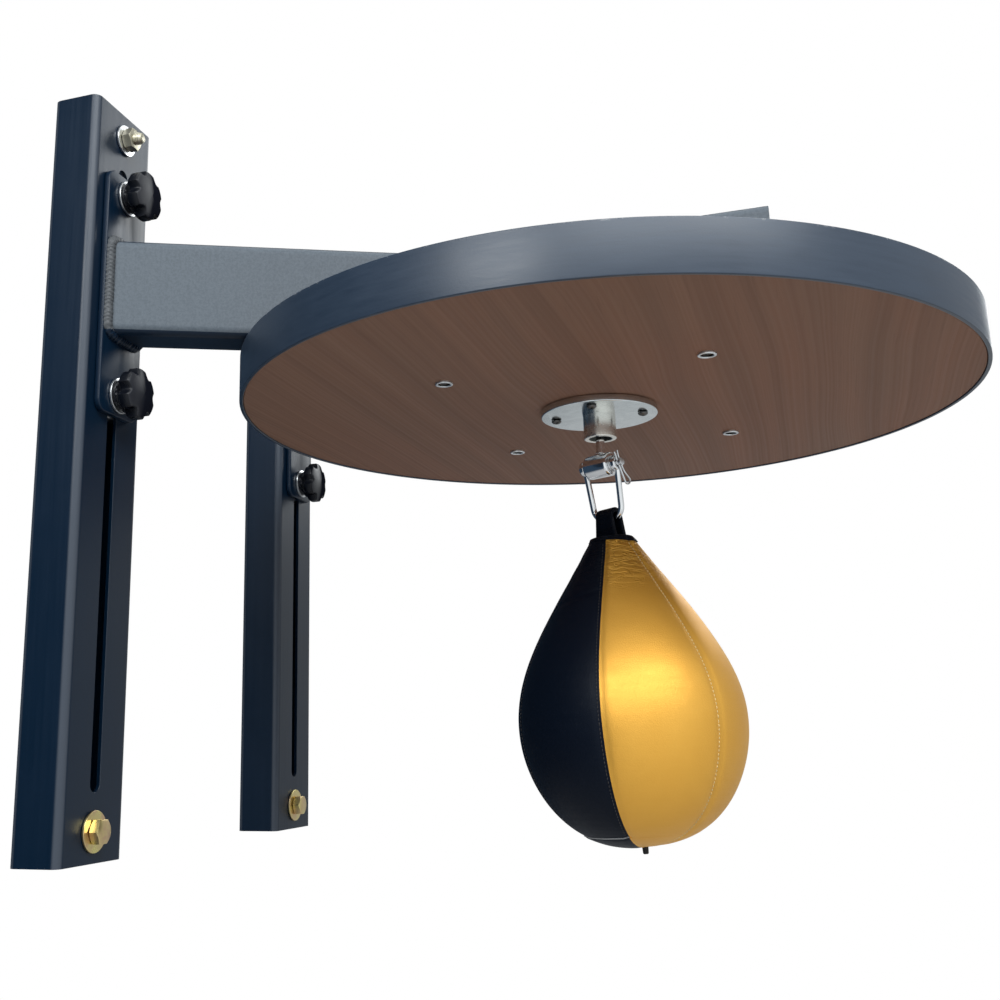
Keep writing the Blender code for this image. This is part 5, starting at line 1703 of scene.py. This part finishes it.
    def loop(self) -> None:
        """The strap folded over the shackle's bow and sewn into the collar."""
        span = Span.of("hanging_loop")
        middle = self.loop_hole / 2 + self.strap / 2
        foot = span.low.z - self.bow.z - 2 * MM
        fold = arc((0, self.loop_lift), middle, 0, 180, 24)
        path = np.array([(middle, foot), (middle, foot * 0.55), *fold, (-middle, foot * 0.55),
                         (-middle, foot)])
        half, thick = self.loop_width / 2, self.strap / 2
        section = eased([(-half, -thick), (half, -thick), (half, thick), (-half, thick)], 0.9 * MM,
                        True)
        lie = self.hang @ Matrix.Translation(self.bow) @ ALONG_PIN
        along = np.gradient(path, axis=0)
        along /= np.linalg.norm(along, axis=1, keepdims=True)
        wide = np.interp(path[:, 1], (foot, 0), (1.08, 0.84))
        rows = [[Vector((u * w, y - v * t[1], z + v * t[0])) for u, v in section]
                for (y, z), t, w in zip(path, along, wide)]
        ends = [[Vector((0, *path[k]))] * len(section) for k in (0, -1)]
        mesh = Shell().rings([ends[0], *rows, ends[1]]).mesh("loop")
        self.dress("strap_loop", moved(mesh, lie), "black", self.body, "hanging_loop")

    def foot(self) -> None:
        """The round patch under the bag and the valve through it."""
        turn = np.linspace(0, 360, 144, endpoint=False) + self.first_seam
        start = self.patch_reach
        levels = [(start, -0.4), (start, 0.6), (start + 0.006, 1.0)]
        levels += [(t, 1.0) for t in np.linspace(start + 0.012, 1, 10)]
        flush = [0.1 if self.GOLD_FROM < a - self.first_seam < self.GOLD_TO else 1.0 for a in turn]
        rows = [[self.surface(t, a, lift * thin * MM) for a, thin in zip(turn, flush)]
                for t, lift in levels]
        mesh = Shell().rings(rows).mesh("patch", 60)
        piece = self.dress("leather_foot", moved(mesh, self.hang), ("black", "gold"), self.body,
                           "foot_patch")
        self.mark(piece, lambda face: self.is_gold(face.center))
        black = np.linspace(self.GOLD_TO, 360 + self.GOLD_FROM, 73) + self.first_seam
        edge = [self.hang @ self.surface(start - 0.002, a, 0.1 * MM) for a in black]
        trim = Shell().tube(np.array(edge), 0.6 * MM, (0, 0, 1), 8)
        self.dress("foot_edge", trim.mesh("edge"), "edge", self.body)
        valve = Span.of("valve")
        cap, low = valve.size.x / 2, self.waist - self.belly_depth - self.valve_length
        profile = eased([(0, low), (cap * 0.42, low), (cap * 0.5, low + 1 * MM),
                         (cap * 0.62, valve.high.z), (0, valve.high.z)], 0.6 * MM)
        stem = Shell().lathe(profile, Matrix.Translation(self.axis), 40).mesh("valve")
        self.dress("rubber_valve", moved(stem, self.hang), "rubber", self.body, "valve")


# Stage and sizes

@dataclass
class Studio:
    """Floor, lights and the camera."""

    floor_drop: float = 620 * MM
    floor_reach: float = 1.5
    camera_place: Colour = (-0.9607, -0.5533, 0.0834)
    camera_forward: Colour = (0.9216, 0.3084, 0.2360)
    camera_roll: float = -0.87
    lens: float = 42.555
    sensor: float = 36
    shift: tuple[float, float] = (0.0892, -0.0459)
    lamps: list[tuple[str, Colour, tuple[float, float], float]] = field(default_factory=lambda: [
        ("key", (-1.35, -1.30, 1.60), (2.0, 1.0), 44.0),
        ("side", (-1.99, 0.18, 1.15), (0.8, 0.7), 18.0),
        ("fill", (1.55, -0.80, 1.25), (1.0, 1.0), 13.5),
        ("top", (0.0, -0.4, 2.3), (1.6, 1.6), 10.0)])
    lamp_colour: Colour = (0.95, 0.985, 1.0)
    aim: Colour = (-0.05, -0.3, 0.35)

    def build(self) -> None:
        """Sets the stage."""
        self.camera()
        self.world()
        self.floor()
        for name, place, size, power in self.lamps:
            self.lamp(name, place, size, power)
        bpy.context.scene.view_settings.view_transform = "Standard"

    def camera(self) -> None:
        """A camera at the photograph's place and angle."""
        forward = Vector(self.camera_forward).normalized()
        right = forward.cross(Vector((0, 0, 1))).normalized()
        up = right.cross(forward)
        roll = math.radians(self.camera_roll)
        across = right * math.cos(roll) + up * math.sin(roll)
        rise = up * math.cos(roll) - right * math.sin(roll)
        lens = bpy.data.cameras.new("camera")
        lens.sensor_width = self.sensor
        lens.lens = self.lens
        lens.shift_x, lens.shift_y = self.shift
        lens.clip_start = 0.02
        camera = linked("camera", lens)
        basis = Matrix((across, rise, -forward)).transposed()
        camera.matrix_world = Matrix.Translation(self.camera_place) @ basis.to_4x4()
        bpy.context.scene.camera = camera

    def world(self) -> None:
        """White where seen, dim to the wall and right where mirrored, and a soft light."""
        world = bpy.data.worlds.new("studio")
        world.use_nodes = True
        graph = Graph(world.node_tree)
        path = graph.node("LightPath").outputs
        mirrored = graph.math("MAXIMUM", path["Is Glossy Ray"], path["Is Transmission Ray"])
        heading = graph.node("TexCoord").outputs["Generated"]
        to_wall = graph.ramp(graph.axis(heading, "Y"), 0.15, 0.45)
        to_right = graph.ramp(graph.axis(heading, "X"), -0.9, 0.95)
        open_side = graph.mix(to_right, (0.93, 0.98, 1.0), (0.50, 0.52, 0.53))
        around = graph.mix(to_wall, open_side, (0.03, 0.055, 0.09))
        soft = graph.mix(to_wall, (0.30, 0.31, 0.33), (0.10, 0.11, 0.13))
        level = graph.mix(mirrored, soft, around)
        backdrop = world.node_tree.nodes["Background"]
        seen = graph.mix(path["Is Camera Ray"], level, (1.0, 1.0, 1.0))
        graph.feed(backdrop.inputs["Color"], seen)
        bpy.context.scene.world = world

    def floor(self) -> None:
        """A pale floor that fades out."""
        reach = self.floor_reach
        mesh = Shell().lathe([(0, 0), (reach / 2, 0), (reach, 0)], steps=96).mesh("floor")
        pale = Surface("pale_floor")
        far = pale.node("VectorMath", {0: pale.place}, operation="LENGTH").outputs["Value"]
        pale.shade({"Base Color": (0.64, 0.64, 0.64), "Roughness": 0.9, "Specular IOR Level": 0.1,
                    "Alpha": pale.ramp(far, reach * 0.55, reach * 0.98, 1.0, 0.0)})
        mesh.materials.append(pale.material)
        floor = linked("floor", mesh)
        floor.location = (0, self.aim[1], -self.floor_drop)

    def lamp(self, name: str, place: Colour, size: tuple[float, float], power: float) -> None:
        """A soft rectangular lamp aimed at the object."""
        light = bpy.data.lights.new(name, "AREA")
        light.shape = "RECTANGLE"
        light.size, light.size_y = size
        light.energy = power
        light.color = self.lamp_colour
        lamp = linked(name, light)
        lamp.location = place
        toward = Vector(self.aim) - Vector(place)
        lamp.rotation_euler = toward.to_track_quat("-Z", "Y").to_euler()


def main() -> None:
    """Builds the studio and then every sub-assembly."""
    logging.basicConfig(level=logging.INFO, format="%(name)s: %(message)s")
    Studio().build()
    finishes = Finishes()
    for kind in (WallFrame, Carriage, Knobs, Board, Swivel, ShackleAndPin, Bag):
        kind(finishes).build()
        LOG.info("%s is dressed", kind.__name__)


if __name__ == "__main__":
    main()
